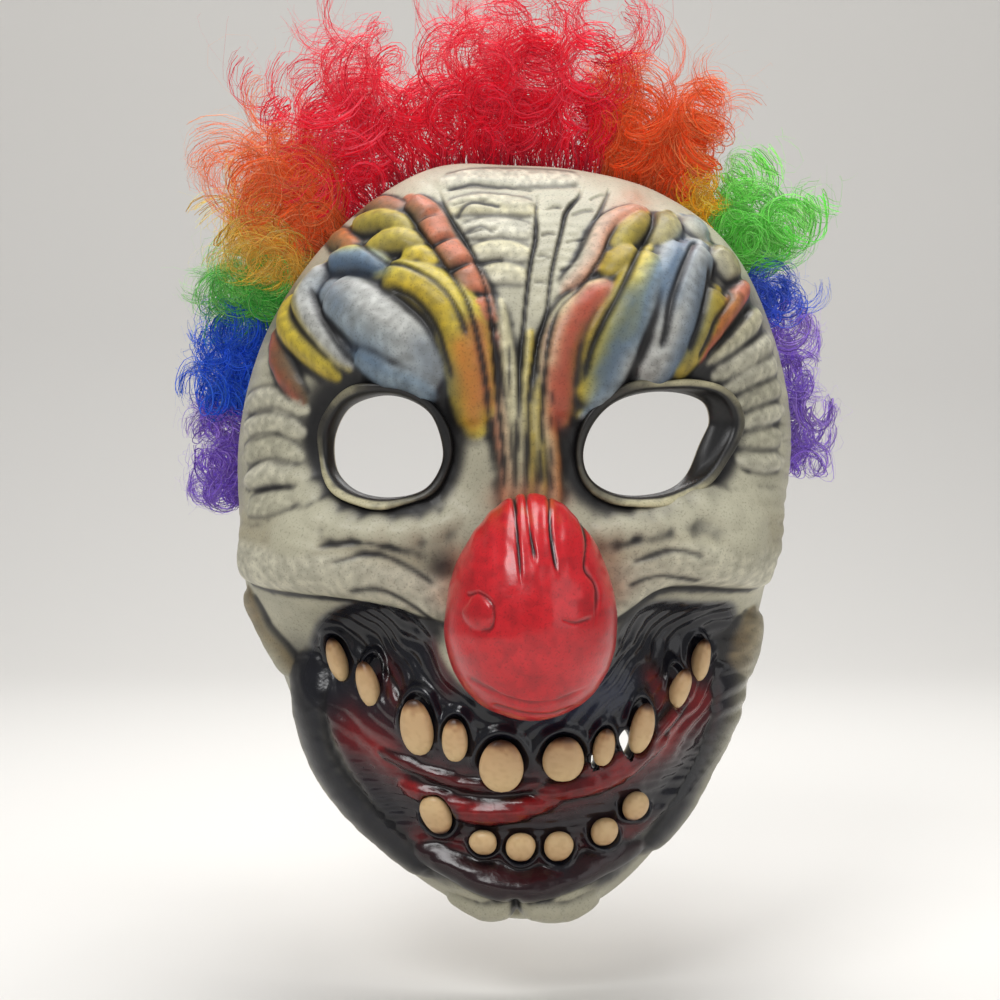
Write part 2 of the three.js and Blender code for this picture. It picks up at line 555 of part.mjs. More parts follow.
function faceShell() {
  let face = solidOf(bareShell());
  for (const fold of FOLDS) face = face.add(solidOf(foldGeometry(fold)));
  for (const eye of EYES) {
    face = face.add(solidOf(lidGeometry(eye))).subtract(solidOf(eyeCutter(eye)));
  }
  const nose = solidOf(noseGeometry(0)).subtract(solidOf(headSpace()));
  face = face.add(nose).subtract(solidOf(noseGeometry(-LATEX)));
  for (const tooth of [...UPPER_TEETH, ...LOWER_TEETH]) {
    face = face.subtract(solidOf(toothGeometry(tooth, TOOTH_CLEAR)));
  }
  return named("face_shell", geometryOf(mainBody(face)), LATEX_SKIN);
}

// A point on what is glued round the rim: back runs behind the rim's edge, and out runs away
// from the wig band's outer side.
function rimPoint(turn, back, out) {
  const spot = (t) => {
    const reach = alongRim(t, "reach");
    const angle = THREE.MathUtils.degToRad(t);
    return new THREE.Vector2(
      reach * Math.cos(angle) * HALF_WIDTH,
      MIDDLE + reach * Math.sin(angle) * HALF_HEIGHT,
    );
  };
  const along = spot(turn + SLOPE_STEP).sub(spot(turn - SLOPE_STEP)).normalize();
  const here = spot(turn);
  const away = out - LATEX - SEAT_GAP;
  const rim = alongRim(turn, "depth") * HEAD_DEPTH;
  return new THREE.Vector3(here.x + along.y * away, rim + back, here.y - along.x * away);
}

function rimStops(from, to) {
  const steps = Math.max(2, Math.ceil((to - from) / WEFT_STEP));
  return Array.from({ length: steps + 1 }, (_, i) => from + ((to - from) * i) / steps);
}

// A strip that follows the rim between two turns, clear behind its edge.
function weftStrip(from, to) {
  const [inside, outside] = [WEFT_GAP, WEFT_GAP + WEFT_THICK];
  return loft(rimStops(from, to).map((turn) => [
    rimPoint(turn, WEFT_GAP, outside),
    rimPoint(turn, BAND_BEHIND, outside),
    rimPoint(turn, BAND_BEHIND, inside),
    rimPoint(turn, WEFT_GAP, inside),
  ]));
}

// A lock of hair: a tapered tube that grows out of its weft and curls over at its tip.
function lockGeometry(turn, back, length, bend) {
  const radius = LOCK_RADIUS * (LOCK_SLIM + ((1 - LOCK_SLIM) * length) / HAIR_LENGTH);
  const root = rimPoint(turn, back, WEFT_GAP + WEFT_THICK - LOCK_ROOT);
  const away = rimPoint(turn, back, length).sub(root).normalize();
  const side = new THREE.Vector3(away.z, 0, -away.x);
  const points = [root];
  for (let i = 1; i <= LOCK_SECTIONS; i++) {
    const s = i / LOCK_SECTIONS;
    const angle = THREE.MathUtils.degToRad(bend) * s * s;
    const step = (length * LOCK_RUN) / LOCK_SECTIONS;
    const next = points.at(-1).clone();
    next.addScaledVector(away, step * Math.cos(angle));
    next.addScaledVector(side, step * Math.sin(angle) * CURL_ASIDE);
    next.y += step * Math.sin(angle) * CURL_BACK;
    points.push(next);
  }
  const curve = new THREE.CatmullRomCurve3(points);
  const { normals, binormals } = curve.computeFrenetFrames(LOCK_SECTIONS);
  const rings = normals.map((normal, i) => {
    const s = i / LOCK_SECTIONS;
    const swell = LOCK_THIN + LOCK_SWELL * Math.sin(Math.PI * s);
    const size = radius * swell * (1 - (1 - LOCK_TIP) * s * s);
    return Array.from({ length: LOCK_SIDES }, (_, k) => {
      const angle = (2 * Math.PI * k) / LOCK_SIDES;
      const point = curve.getPoint(s);
      point.addScaledVector(normal, size * Math.cos(angle));
      return point.addScaledVector(binormals[i], size * Math.sin(angle));
    });
  });
  return loft(rings);
}

// The slice of space between two turns, which keeps a weft's locks out of the next weft's.
function turnSlice(from, to) {
  const corners = [from, (from + to) / 2, to].map((turn) => {
    const angle = THREE.MathUtils.degToRad(turn);
    return new THREE.Vector2(
      HAIR_WEDGE * HALF_WIDTH * Math.cos(angle),
      HAIR_WEDGE * HALF_HEIGHT * Math.sin(angle),
    );
  });
  const shape = new THREE.Shape([new THREE.Vector2(0, 0), ...corners]);
  const slice = new THREE.ExtrudeGeometry(shape, { depth: 2 * STRAP_BACK, bevelEnabled: false });
  slice.rotateX(Math.PI / 2);
  return slice.translate(0, STRAP_BACK, MIDDLE);
}

function hairWeft({ name, from, to, locks, length, bend, colour }) {
  const start = from + HAIR_GAP_TURN;
  const end = to - HAIR_GAP_TURN;
  let weft = solidOf(weftStrip(start, end));
  for (let i = 0; i < locks; i++) {
    const { back, reach, curl } = LOCK_ROWS[i % LOCK_ROWS.length];
    const turn = start + ((end - start) * (i + 0.5)) / locks;
    const long = reach * length * HAIR_LENGTH;
    weft = weft.add(solidOf(lockGeometry(turn, back * BAND_BEHIND, long, curl * bend)));
  }
  const whole = mainBody(weft.intersect(solidOf(turnSlice(start, end))));
  const finish = { color: colour, roughness: HAIR_ROUGHNESS, metalness: 0 };
  return named(`hair_${name}`, geometryOf(whole), finish);
}

function wigBand() {
  const from = HAIR[0].from - BAND_PAST.low;
  const to = HAIR.at(-1).to + BAND_PAST.high;
  const lean = BAND_INSIDE * SEAT_SLOPE;
  const rings = rimStops(from, to).map((turn) => [
    rimPoint(turn, -BAND_INSIDE, -lean),
    rimPoint(turn, 0, -BAND_TUCK),
    rimPoint(turn, BAND_BEHIND, 0),
    rimPoint(turn, BAND_BEHIND, -BAND_THICK),
    rimPoint(turn, 0, -BAND_THICK - BAND_TUCK),
    rimPoint(turn, -BAND_INSIDE, -BAND_THICK - lean),
  ]);
  return named("wig_band", loft(rings), CLOTH_FINISH);
}

// How far out the wall's inside lies at a height and a depth, on one side (1 or -1).
function wallInside(side, height, depth) {
  const v = (height - MIDDLE) / HALF_HEIGHT;
  let [near, far] = [0, 1];
  for (let i = 0; i < HALVINGS; i++) {
    const u = (near + far) / 2;
    if (onFace(side * u, v, -LATEX).y < depth && domeAt(side * u, v).share < 1) near = u;
    else far = u;
  }
  return Math.abs(onFace(side * near, v, -LATEX).x);
}

// The elastic: two ends flat against the wall's inside and one sweep round the back of the head.
function strapGeometry() {
  const heights = [-0.5, 0, 0.5].map((share) => STRAP_HEIGHT + share * STRAP_WIDTH);
  const rim = alongRim(180, "depth") * HEAD_DEPTH;
  const walls = [-1, 1].map((side) => {
    return Math.min(...heights.map((height) => wallInside(side, height, rim)));
  });
  const seat = (side, depth) => {
    const wall = walls[side < 0 ? 0 : 1];
    return side * (wall - SEAT_GAP - (rim - depth) * SEAT_SLOPE);
  };
  const end = (side) => Array.from({ length: STRAP_END_POINTS }, (_, k) => {
    const depth = rim - STRAP_INSIDE * (1 - k / STRAP_END_POINTS);
    return new THREE.Vector2(seat(side, depth), depth);
  });
  const left = seat(-1, rim);
  const right = seat(1, rim);
  const middle = (left + right) / 2;
  const sweep = [];
  for (let i = 0; i <= STRAP_BACK_POINTS; i++) {
    const angle = Math.PI * (1 - i / STRAP_BACK_POINTS);
    const across = middle + ((right - left) / 2) * Math.cos(angle);
    sweep.push(new THREE.Vector2(across, rim + (STRAP_BACK - rim) * Math.sin(angle)));
  }
  const outer = [...end(-1), ...sweep, ...end(1).reverse()];
  const inner = outer.map((p, i) => {
    const before = outer[Math.max(i - 1, 0)];
    const after = outer[Math.min(i + 1, outer.length - 1)];
    const along = after.clone().sub(before).normalize();
    return new THREE.Vector2(p.x + along.y * STRAP_THICK, p.y - along.x * STRAP_THICK);
  });
  const shape = new THREE.Shape([...outer, ...inner.reverse()]);
  const strap = new THREE.ExtrudeGeometry(shape, { depth: STRAP_WIDTH, bevelEnabled: false });
  return strap.translate(0, 0, STRAP_HEIGHT - STRAP_WIDTH / 2);
}

const mask = new THREE.Group();
mask.add(faceShell());
UPPER_TEETH.forEach((tooth, i) => {
  mask.add(named(`upper_tooth_${i + 1}`, toothGeometry(tooth), TOOTH_FINISH));
});
LOWER_TEETH.forEach((tooth, i) => {
  mask.add(named(`lower_tooth_${i + 1}`, toothGeometry(tooth), TOOTH_FINISH));
});
mask.add(wigBand());
for (const weft of HAIR) mask.add(hairWeft(weft));
mask.add(named("elastic_strap", strapGeometry(), ELASTIC_FINISH));

export default mask;
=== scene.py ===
"""Visual model of a horror clown mask: painted latex face, glossy hollow nose, peg teeth,
wig band with curly hair in rainbow colours, and the elastic strap. Millimetres until a mesh
is made, in the frame's directions: +X to the picture's right, -Y out of the face, +Z up."""

import math

import bpy
import numpy as np
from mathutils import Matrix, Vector


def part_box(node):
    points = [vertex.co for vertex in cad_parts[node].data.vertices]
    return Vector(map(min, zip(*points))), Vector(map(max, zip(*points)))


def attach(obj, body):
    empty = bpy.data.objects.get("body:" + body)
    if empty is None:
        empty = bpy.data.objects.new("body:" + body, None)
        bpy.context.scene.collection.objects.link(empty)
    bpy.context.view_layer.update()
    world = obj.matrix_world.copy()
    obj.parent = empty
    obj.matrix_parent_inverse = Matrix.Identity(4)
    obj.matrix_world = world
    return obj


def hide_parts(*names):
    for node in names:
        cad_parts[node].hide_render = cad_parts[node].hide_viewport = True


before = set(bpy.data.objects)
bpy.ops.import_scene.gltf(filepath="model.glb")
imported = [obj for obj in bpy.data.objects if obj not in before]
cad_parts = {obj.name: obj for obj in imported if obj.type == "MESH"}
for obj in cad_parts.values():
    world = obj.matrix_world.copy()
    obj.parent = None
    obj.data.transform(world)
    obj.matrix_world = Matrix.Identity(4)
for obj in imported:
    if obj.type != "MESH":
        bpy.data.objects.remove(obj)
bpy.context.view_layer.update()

MM = 0.001


def table(columns, *rows):
    """Rows as dicts by the names of their columns. A last column named path takes all that is
    left of its row, as places (u, v) in shares of the face's half width and height."""
    names, made = columns.split(), []
    for row in rows:
        made.append(dict(zip(names, row)))
        if names[-1] == "path":
            made[-1]["path"] = np.reshape(row[len(names) - 1 :], (-1, 2))
    return made


# The face's dome, as the frame has it
HALF_WIDTH = 106.0
HALF_HEIGHT = 138.0
MIDDLE = -36.0  # height of the face's middle against the eyes
HEAD_DEPTH = 98.0  # from its front to the rim beside the ears
LATEX = 3.0  # the wall's thickness
RELIEF = 10.0  # height of a soft form whose lift is 1
BULGE = 2.4  # power of the dome's section: 2 is half an ellipse, more is squarer
RIM_FADE = 0.12  # share of the way to the rim over which the soft forms run out
SLOPE_STEP = 0.5  # mm or degrees to either side when a slope is taken
SKIN_ACROSS = 500  # quads of the outer skin
SKIN_UP = 560
INSIDE_RATIO = 4  # of them each way to one quad inside
SKIN_BANDS = [("latex_jaw", 0, 187), ("latex_cheeks", 187, 374), ("latex_brow", 374, 560)]  # rows

# The rim: turn in degrees from the mask's left ear up over the top, reach as a share of half
# the width and height, depth as a share of HEAD_DEPTH.
RIM = np.array([
    (0, 0.97, 1.0), (15, 1.05, 1.0), (30, 1.09, 0.97), (45, 1.11, 0.93), (60, 1.07, 0.88),
    (75, 1.02, 0.84), (90, 1.0, 0.82), (105, 1.03, 0.84), (120, 1.03, 0.88), (135, 1.03, 0.93),
    (150, 1.03, 0.97), (165, 1.01, 1.0), (180, 0.97, 1.0), (190, 0.96, 0.97), (200, 0.91, 0.92),
    (212, 0.9, 0.82), (225, 0.92, 0.71), (240, 0.94, 0.59), (255, 0.97, 0.47), (270, 1.0, 0.41),
    (285, 1.01, 0.47), (300, 0.98, 0.59), (315, 0.93, 0.71), (328, 0.92, 0.82), (340, 0.92, 0.92),
    (350, 0.93, 0.97),
])
TURN, REACH, DEPTH = 0, 1, 2  # columns of RIM

# Soft forms: middle (u, v) and radii (wide, tall) as shares of the half width and height, lift
# as a share of RELIEF.
FORMS = table("name u v wide tall lift",
    ("left_brow", -.42, .56, .36, .2, .9),
    ("right_brow", .46, .58, .36, .21, .9),
    ("left_socket", -.42, .25, .29, .2, -.9),
    ("right_socket", .45, .26, .33, .2, -.9),
    ("left_cheek", -.66, 0, .3, .16, 1),
    ("right_cheek", .66, .02, .3, .16, 1),
    ("left_eye_bag", -.44, .05, .31, .09, .5),
    ("right_eye_bag", .44, .05, .31, .09, .5),
    ("bridge", .02, .28, .14, .29, 1),
    ("muzzle", .02, -.48, .66, .29, .6),
    ("left_hollow", -.52, -.25, .24, .14, -1.3),
    ("right_hollow", .58, -.25, .2, .13, -1.3),
    ("chin", .02, -.9, .28, .11, .7),
)

# Paints, sRGB
PALETTE = dict(
    skin="#b6b29b", pale="#cac6b2", cream="#cfc7a0", umber="#6b5a3c", black="#0b0a0c",
    soot="#1c1a1b", cloud="#b6b7b2", sky="#7d93a4", slate="#465a72", yellow="#b79b22",
    lemon="#c9b53c", orange="#c4682c", salmon="#bf6d4e", red="#a43a26", olive="#7d7030",
    gum="#14151d", navy="#1b2440", blood="#6e1113", crimson="#8f1a1c", plum="#2c0c10",
    inside="#c9c2ac", ruddy="#c3121e", cherry="#d8232c", maroon="#5c0a10",
    bone="#cdab7e", ivory="#dabd8c", tartar="#8a5c38", gumline="#2a140c", stain="#a98258",
)

# Skin folds, each a roll along the curve through its path: wide is half its width and high its
# height in mm. Ease is its half width on the left of its heading, where that side runs out
# gently, and cushions how many it is pinched into, or 0. Its paints run from left to right;
# the olive beside yellow on a fold is partly painted shade, on its side turned from the light.
FOLDS = table("wide high ease cushions paints path",
    (11.5, 8, 0, 0, "cloud cloud sky", -.563, .622, -.489, .589, -.378, .526, -.29, .475, -.217,
     .421),
    (6.5, 6.5, 0, 0, "cloud sky sky", -.488, .48, -.378, .43, -.253, .396),
    (10.5, 9, 0, 0, "lemon lemon yellow olive", -.394, .662, -.276, .637, -.193, .579, -.158, .494,
     -.14, .41, -.127, .317),
    (5.4, 5.5, 0, 0, "cloud cloud yellow", -.617, .701, -.656, .616, -.642, .571, -.529, .458),
    (5.2, 4.8, 0, 0, "lemon yellow", -.71, .634, -.733, .566, -.701, .521, -.579, .434),
    (4.6, 3.4, 0, 0, "umber red", -.784, .542, -.76, .455, -.705, .375),
    (5.6, 5, 0, 0, "lemon sky slate", -.586, .707, -.484, .715, -.391, .689),
    (5, 3.6, 0, 0, "orange umber", -.65, .824, -.569, .78, -.508, .741),
    (5.2, 3.6, 0, 0, "salmon umber", -.549, .894, -.449, .875, -.367, .853),
    (5.4, 4.8, 0, 0, "lemon olive", -.534, .814, -.421, .821, -.317, .791),
    (5.6, 5, 0, 0, "lemon olive", -.459, .734, -.369, .762, -.276, .746),
    (5.2, 5, 0, 0, "lemon yellow", -.344, .701, -.286, .716, -.223, .684),
    (6.6, 5.2, 0, 6, "salmon salmon umber", -.345, .882, -.279, .836, -.235, .757, -.181, .697,
     -.133, .624, -.104, .541, -.086, .456),
    (5.2, 4.6, 0, 0, "salmon pale", .43, .853, .318, .806, .272, .757, .239, .697, .158, .637),
    (5.8, 4.8, 0, 0, "olive lemon", .441, .831, .365, .779, .309, .725),
    (6.4, 5.4, 0, 0, "olive yellow", .389, .727, .332, .699, .278, .656),
    (8.2, 7.5, 0, 0, "olive salmon salmon cream", .311, .637, .249, .607, .194, .567, .157, .515,
     .139, .447, .144, .334),
    (5.6, 6.6, 0, 0, "olive yellow", .353, .638, .299, .596, .261, .548, .236, .491, .215, .4),
    (10.5, 9, 0, 0, "cloud sky lemon yellow", .429, .715, .395, .653, .361, .596, .317, .524, .278,
     .449, .224, .364),
    (7, 6.4, 0, 0, "slate sky cloud", .528, .746, .485, .691, .45, .634, .429, .551),
    (9.6, 8.2, 0, 0, "slate cloud cloud", .598, .738, .542, .677, .503, .61, .486, .542, .469, .488,
     .425, .422),
    (6.6, 6.2, 0, 0, "yellow olive", .629, .628, .595, .573, .564, .522, .536, .474, .502, .437),
    (7, 4.2, 0, 0, "olive skin", .657, .745, .696, .713, .72, .67),
    (4.4, 4.8, 0, 0, "red salmon", .774, .664, .691, .602, .63, .548, .564, .46),
    (6.6, 4, 0, 0, "cream olive", .529, .838, .478, .777, .445, .743),
    (5.4, 3, 0, 0, "sky skin", .588, .841, .617, .815, .642, .783),
    (4.6, 3.4, 0, 0, "skin cream", .82, .588, .71, .523, .627, .473),
    (4.8, 3.2, 0, 0, "skin pale", .878, .522, .756, .475, .664, .435),
    (4.7, 3, 0, 0, "skin pale", .901, .464, .794, .434, .713, .404),
    (4.6, 2.8, 0, 0, "skin skin", .916, .405, .817, .38, .752, .359),
    (4.5, 2.6, 0, 0, "pale skin", .923, .341, .836, .326, .776, .313),
    (4.5, 2.4, 0, 0, "skin skin", .925, .273, .838, .27, .778, .267),
    (4.5, 2.2, 0, 0, "pale skin", .915, .209, .823, .214, .766, .224),
    (4.8, 2.4, 0, 0, "pale skin", -.919, .353, -.805, .371, -.705, .352),
    (4.8, 2.4, 0, 0, "pale skin", -.914, .284, -.803, .316, -.721, .292),
    (4.7, 2.2, 0, 0, "skin skin", -.92, .219, -.817, .252, -.726, .23),
    (4.7, 2.2, 0, 0, "pale skin", -.895, .154, -.798, .186, -.705, .175),
    (4.6, 2, 0, 0, "skin skin", -.853, .095, -.759, .114, -.681, .139),
    (4.4, 1.5, 0, 0, "pale pale", -.23, .939, -.08, .95, .23, .95),
    (4.4, 1.5, 0, 0, "pale cream", -.217, .86, -.081, .871, .068, .859),
    (4.4, 1.5, 0, 0, "pale pale", -.167, .794, -.061, .804, .057, .793),
    (4.4, 1.5, 0, 0, "cream pale", -.138, .732, -.052, .742, .047, .73),
    (4.4, 1.5, 0, 0, "cream pale", -.109, .67, -.042, .68, .037, .668),
    (3, 3.2, 0, 0, "cream salmon", -.089, .493, -.06, .371, -.031, .22, -.027, .1),
    (3.2, 3.2, 0, 0, "cream cream", -.052, .606, -.013, .388, .007, .22, .01, .1),
    (2.6, 2.8, 0, 0, "yellow cream", .045, .528, .035, .369, .046, .22, .046, .1),
    (2.4, 2.8, 0, 0, "yellow cream", .083, .483, .067, .342, .08, .22, .084, .1),
    (3, 3.4, 0, 0, "orange cream", .111, .557, .1, .371, .123, .22, .13, .1),
    (5.5, 7, 17, 0, "pale skin", -.885, -.077, -.552, -.086, -.211, -.153),
    (5.5, 7, 17, 0, "skin pale", .301, -.152, .492, -.053, .83, -.091),
    (5, 4.8, 0, 0, "umber skin", -.897, -.139, -.88, -.24, -.757, -.358),
    (6, 6, 0, 0, "pale umber", .834, -.198, .818, -.279, .8, -.38),
    # Black rolls beside the mouth: partly black paint, partly painted shade under the cheeks.
    (7, 6, 0, 0, "gum soot", -.734, -.317, -.615, -.596, -.297, -.845),
    (7, 6, 0, 0, "soot gum", .788, -.339, .7, -.57, .457, -.797),
    (5, 4.6, 0, 0, "crimson blood", -.361, -.603, -.103, -.664, .141, -.624),
    (4.6, 4.6, 0, 0, "crimson blood", .074, -.613, .3, -.574, .495, -.478),
    (2.8, 3.6, 0, 0, "blood crimson", .141, -.556, .331, -.527, .596, -.403),
    (2.6, 2.6, 0, 0, "blood plum", -.438, -.521, -.143, -.588, .095, -.588),
    (5, 4.6, 0, 0, "plum gum", -.319, -.778, .019, -.843, .419, -.78),
    (6, 4.8, 0, 0, "skin pale", -.22, -.93, -.1, -.94, -.009, -.905),
    (6, 4.8, 0, 0, "pale skin", .038, -.903, .159, -.937, .278, -.908),
)
PLAIN = ("skin", "pale", "cream")  # paints of folds whose edges are only lightly blacked
FOLD_TAPER = 0.4  # power of its rise from either end
FOLD_ROUND, EASE_ROUND = 0.75, 1.6  # power of its section: 0.5 is half an ellipse, more is softer
FOLD_POINT, FOLD_LOW = 0.55, 0.25  # its width and height at the ends, as shares
PINCH_DEEP, PINCH_POWER = 0.6, 6  # how deep it is pinched between cushions, and how sharply
EDGE_BLACK_PLAIN, EDGE_BLACK, EDGE_BLACK_WIDE = 0.42, 0.85, 0.7  # strength of the black along its edge, partly black wash and partly painted shade, and mm

# Creases pressed between the folds and blacked in, partly as black wash and partly as painted
# shade: wide and deep in mm.
CREASES = table("wide deep path",
    (.62, 1.3, -.261, .933, -.216, .844, -.155, .762, -.099, .643, -.074, .532, -.059, .392, -.041,
     .251, -.031, .11),
    (.65, 1.4, -.372, .874, -.311, .8, -.248, .729, -.183, .647, -.145, .589, -.116, .509, -.092,
     .405, -.08, .295),
    (.81, 1.12, -.521, .778, -.415, .704, -.315, .674, -.22, .626, -.167, .561, -.133, .482),
    (.81, 1.12, -.386, .63, -.297, .599, -.237, .543, -.209, .477, -.189, .402),
    (.75, .96, -.633, .643, -.595, .575, -.546, .506, -.504, .454),
    (.65, 1.4, .101, .92, .078, .868, .071, .774, .052, .707, .033, .596, .016, .469, .006, .353,
     -0, .251, -.006, .11),
    (.65, 1.4, .248, .953, .227, .9, .179, .854, .156, .793, .118, .678, .098, .575, .066, .488,
     .043, .39, .037, .274, .035, .11),
    (.7, .8, .34, .932, .31, .882, .277, .83, .243, .778, .21, .72),
    (.62, 1.3, .344, .8, .304, .759, .27, .703, .2, .629, .155, .598, .126, .564, .1, .497, .085,
     .38, .079, .251, .079, .11),
    (.87, 1.44, .478, .871, .461, .822, .427, .763, .385, .714, .31, .601, .274, .552, .233, .481,
     .212, .393),
    (1.04, 1.6, .614, .765, .558, .732, .505, .666, .464, .589, .448, .51, .439, .47),
    (.93, 1.28, .609, .69, .591, .635, .563, .571, .54, .511, .53, .47),
    (.81, 1.2, .68, .642, .671, .608, .607, .553, .589, .513, .565, .459),
    (.93, 1.28, .778, .601, .698, .545, .645, .507, .599, .471),
    (.9, .8, -.564, -.032, -.435, -.003, -.332, -.037, -.238, -.089),
    (.9, .9, -.529, -.096, -.424, -.087, -.341, -.121, -.241, -.191),
    (.8, .7, -.596, .012, -.467, .027, -.347, .004),
    (.9, .8, .346, -.025, .462, .011, .56, -.003),
    (.9, .9, .333, -.088, .43, -.054, .568, -.071),
    (.8, .8, -.24, .909, -.14, .925, .02, .92),
    (.8, .8, -.198, .824, -.14, .868, -.03, .857),
    (.8, .7, -.178, .782, -.11, .803, -.061, .782),
    (.7, .6, -.12, .93, -.02, .92, .08, .909),
    (1.6, 2.2, 0, -.85, .01, -.908, .01, -.97),
    (1.2, 1, -.54, -.279, -.432, -.345, -.366, -.404),
    (.6, .6, .104, .854, .136, .864, .167, .862),
    (.6, .6, .087, .783, .113, .789, .139, .785),
    (.6, .6, .072, .723, .096, .726, .119, .717),
    (.6, .6, .063, .654, .085, .656, .107, .647),
    (.6, .6, .191, .837, .233, .851, .275, .853),
    (.6, .6, .166, .76, .202, .767, .237, .764),
    (.6, .6, .143, .686, .172, .69, .2, .684),
    (.6, .6, .255, .882, .293, .898, .329, .902),
    (.6, .6, -.213, .861, -.147, .873, -.078, .874),
    (.6, .6, -.168, .783, -.108, .794, -.047, .794),
    (.6, .6, -.124, .703, -.078, .713, -.032, .713),
    (.5, .8, .117, .417, .111, .299, .115, .12),
    (.5, .8, -.025, .531, -.019, .368, -.016, .2),
)

# Round swellings of the eye bags: radius and height in mm. Each runs out at BUMP_SPREAD times its
# radius, and BUMP_ROUND is the power of its section.
BUMPS = table("u v radius high",
    (-.702, .181, 3.6, 1.8), (-.66, .142, 4, 2), (-.592, .096, 4.4, 2.2), (-.523, .068, 5, 2.6),
    (-.438, .057, 5.4, 2.8), (-.344, .054, 5, 2.6), (-.262, .063, 4.2, 2.2), (-.206, .082, 3.6, 1.8),
    (.277, .054, 3.4, 1.8), (.341, .065, 4.2, 2.2), (.412, .076, 5.2, 2.6), (.487, .096, 6.2, 3),
    (.552, .124, 6, 2.8), (.624, .118, 7, 3), (-.65, .045, 8.5, 2.6), (.7, .062, 9, 2.8),
)
BUMP_SPREAD, BUMP_ROUND = 1.3, 1.3
COLLAR_HIGH = 3.0  # mm of gum standing up round a tooth's root
EDGE_LOW, EDGE_SLOPE = 0.8, 1.7  # mm the skin may stand up at an eye hole, and per mm from it

# Fine wrinkles across the skin in mm: height, pitch from one to the next, tilt as mm of rise
# for each mm to the side, and warp, size and seed of the noise that bends them.
WRINKLES = table("name high pitch tilt warp size seed",
    ("side", .72, 6.4, .1, 5, 22, 3),
    ("cheek", .7, 4.4, -.22, 6, 16, 4),
    ("forehead", .3, 3.6, 0, 6, 14, 5),
    ("upper_gum", .9, 6.4, -.8, 8, 11, 6),
    ("lower_gum", .7, 3.4, 0, 4, 12, 7),
)
SOCKET_BLACK, SOCKET_ABOVE = 10, 5  # mm of black round an eye hole, and more of it above
HOLLOW_ROUNDS, WIDE_ROUNDS = 34, 234  # rounds of averaging that find small and wide hollows
# mm of depth at which the black in hollows, partly black wash and partly painted shade, begins
# to stay, and stays whole: in small hollows, wide ones, creases
HOLLOW_BLACK_SMALL, HOLLOW_BLACK_WIDE, HOLLOW_BLACK_CUT = (0.2, 0.75), (1.0, 3.0), (0.35, 0.9)

# Airbrushed paint: strokes along a path with soft edges, spread in mm, strength up to 1. The
# first list goes on before the folds' own paint and the second over it.
UNDERCOAT = table("spread paint strength path",
    # Near-black round and under the brows: partly black paint, partly painted shade under the brows.
    (13, "soot", .75, -.72, .6, -.45, .58, -.16, .46),
    (13, "soot", .75, .24, .48, .45, .6, .74, .6),
    (8, "umber", .7, -.42, .82, -.25, .68),
    (9, "umber", .25, -.88, .04, -.6, -.02, -.24, -.06),
    (9, "umber", .22, .34, -.02, .6, .02, .9, .04),
    # Black beside the nose: painted shade where the nose stands out from the cheeks.
    (5, "black", .9, -.227, -.038, -.274, -.202),
    (5, "black", .8, .323, -.077, .371, -.205),
    (6, "umber", .5, -.86, -.3, -.8, -.46, -.62, -.7, -.34, -.88),
    (6, "umber", .5, .86, -.4, .72, -.66, .5, -.86),
    (9, "black", 1, -.73, -.35, -.64, -.54, -.47, -.71, -.27, -.83),
    (9, "black", 1, .8, -.34, .72, -.54, .54, -.72, .32, -.835),
)
OVERSPRAY = table("spread paint strength path",
    (5, "slate", .45, -.579, .641, -.516, .584),
    (4, "slate", .5, -.496, .493, -.428, .457),
    (5, "slate", .4, -.273, .481, -.214, .428),
    (3.4, "orange", .6, -.159, .486, -.129, .329),
    (3.5, "red", .6, -.115, .53, -.092, .369),
    (3, "slate", .6, -.562, .694, -.388, .668),
    (5, "orange", .4, -.724, .813, -.785, .751, -.832, .653),
    (3.6, "red", .7, .237, .603, .156, .496, .136, .323),
    (3, "cream", .5, .156, .6, .124, .529, .105, .459),
    (4.6, "slate", .75, .345, .595, .301, .497, .266, .434),
    (4, "slate", .7, .557, .758, .486, .67, .458, .602),
    (4, "slate", .35, .559, .596, .542, .529, .513, .482),
    (6, "salmon", .45, .419, .885, .371, .846),
    (3, "yellow", .3, .678, .603, .614, .527),
    (5, "salmon", .35, -.18, -.016, -.211, -.103),
    (5, "salmon", .35, .268, .005, .3, -.092),
    (5, "salmon", .45, -.04, .13, .04, .15, .125, .13),
    (6, "skin", .95, .59, .078, .64, .064, .7, .06),
)

MOUTH = np.reshape([
    -.696, -.218, -.574, -.147, -.444, -.122, -.345, -.143, -.274, -.202, -.24, -.27, -.146, -.343,
    .018, -.361, .201, -.342, .318, -.259, .341, -.201, .441, -.13, .637, -.145, .758, -.162, .797,
    -.273, .78, -.44, .649, -.58, .474, -.706, .282, -.801, .047, -.842, -.204, -.8, -.375, -.735,
    -.511, -.603, -.614, -.457, -.726, -.337,
], (-1, 2))
MOUTH_DEEP = 3.0
MOUTH_PAINT = table("spread paint strength path",
    (9, "crimson", .85, -.526, -.473, -.296, -.576, -0, -.614, .344, -.556, .648, -.412),
    (4, "blood", .8, -.469, -.321, -.366, -.404),
    (4, "blood", .6, -.252, -.241, -.219, -.339),
    (4.5, "blood", .8, .483, -.345, .532, -.426),
    # Navy over the upper mouth: a painted sheen on the glossy black.
    (8, "navy", .8, .096, -.393, .342, -.361),
    (6, "blood", .75, -.301, -.741, .098, -.794, .401, -.72),
)

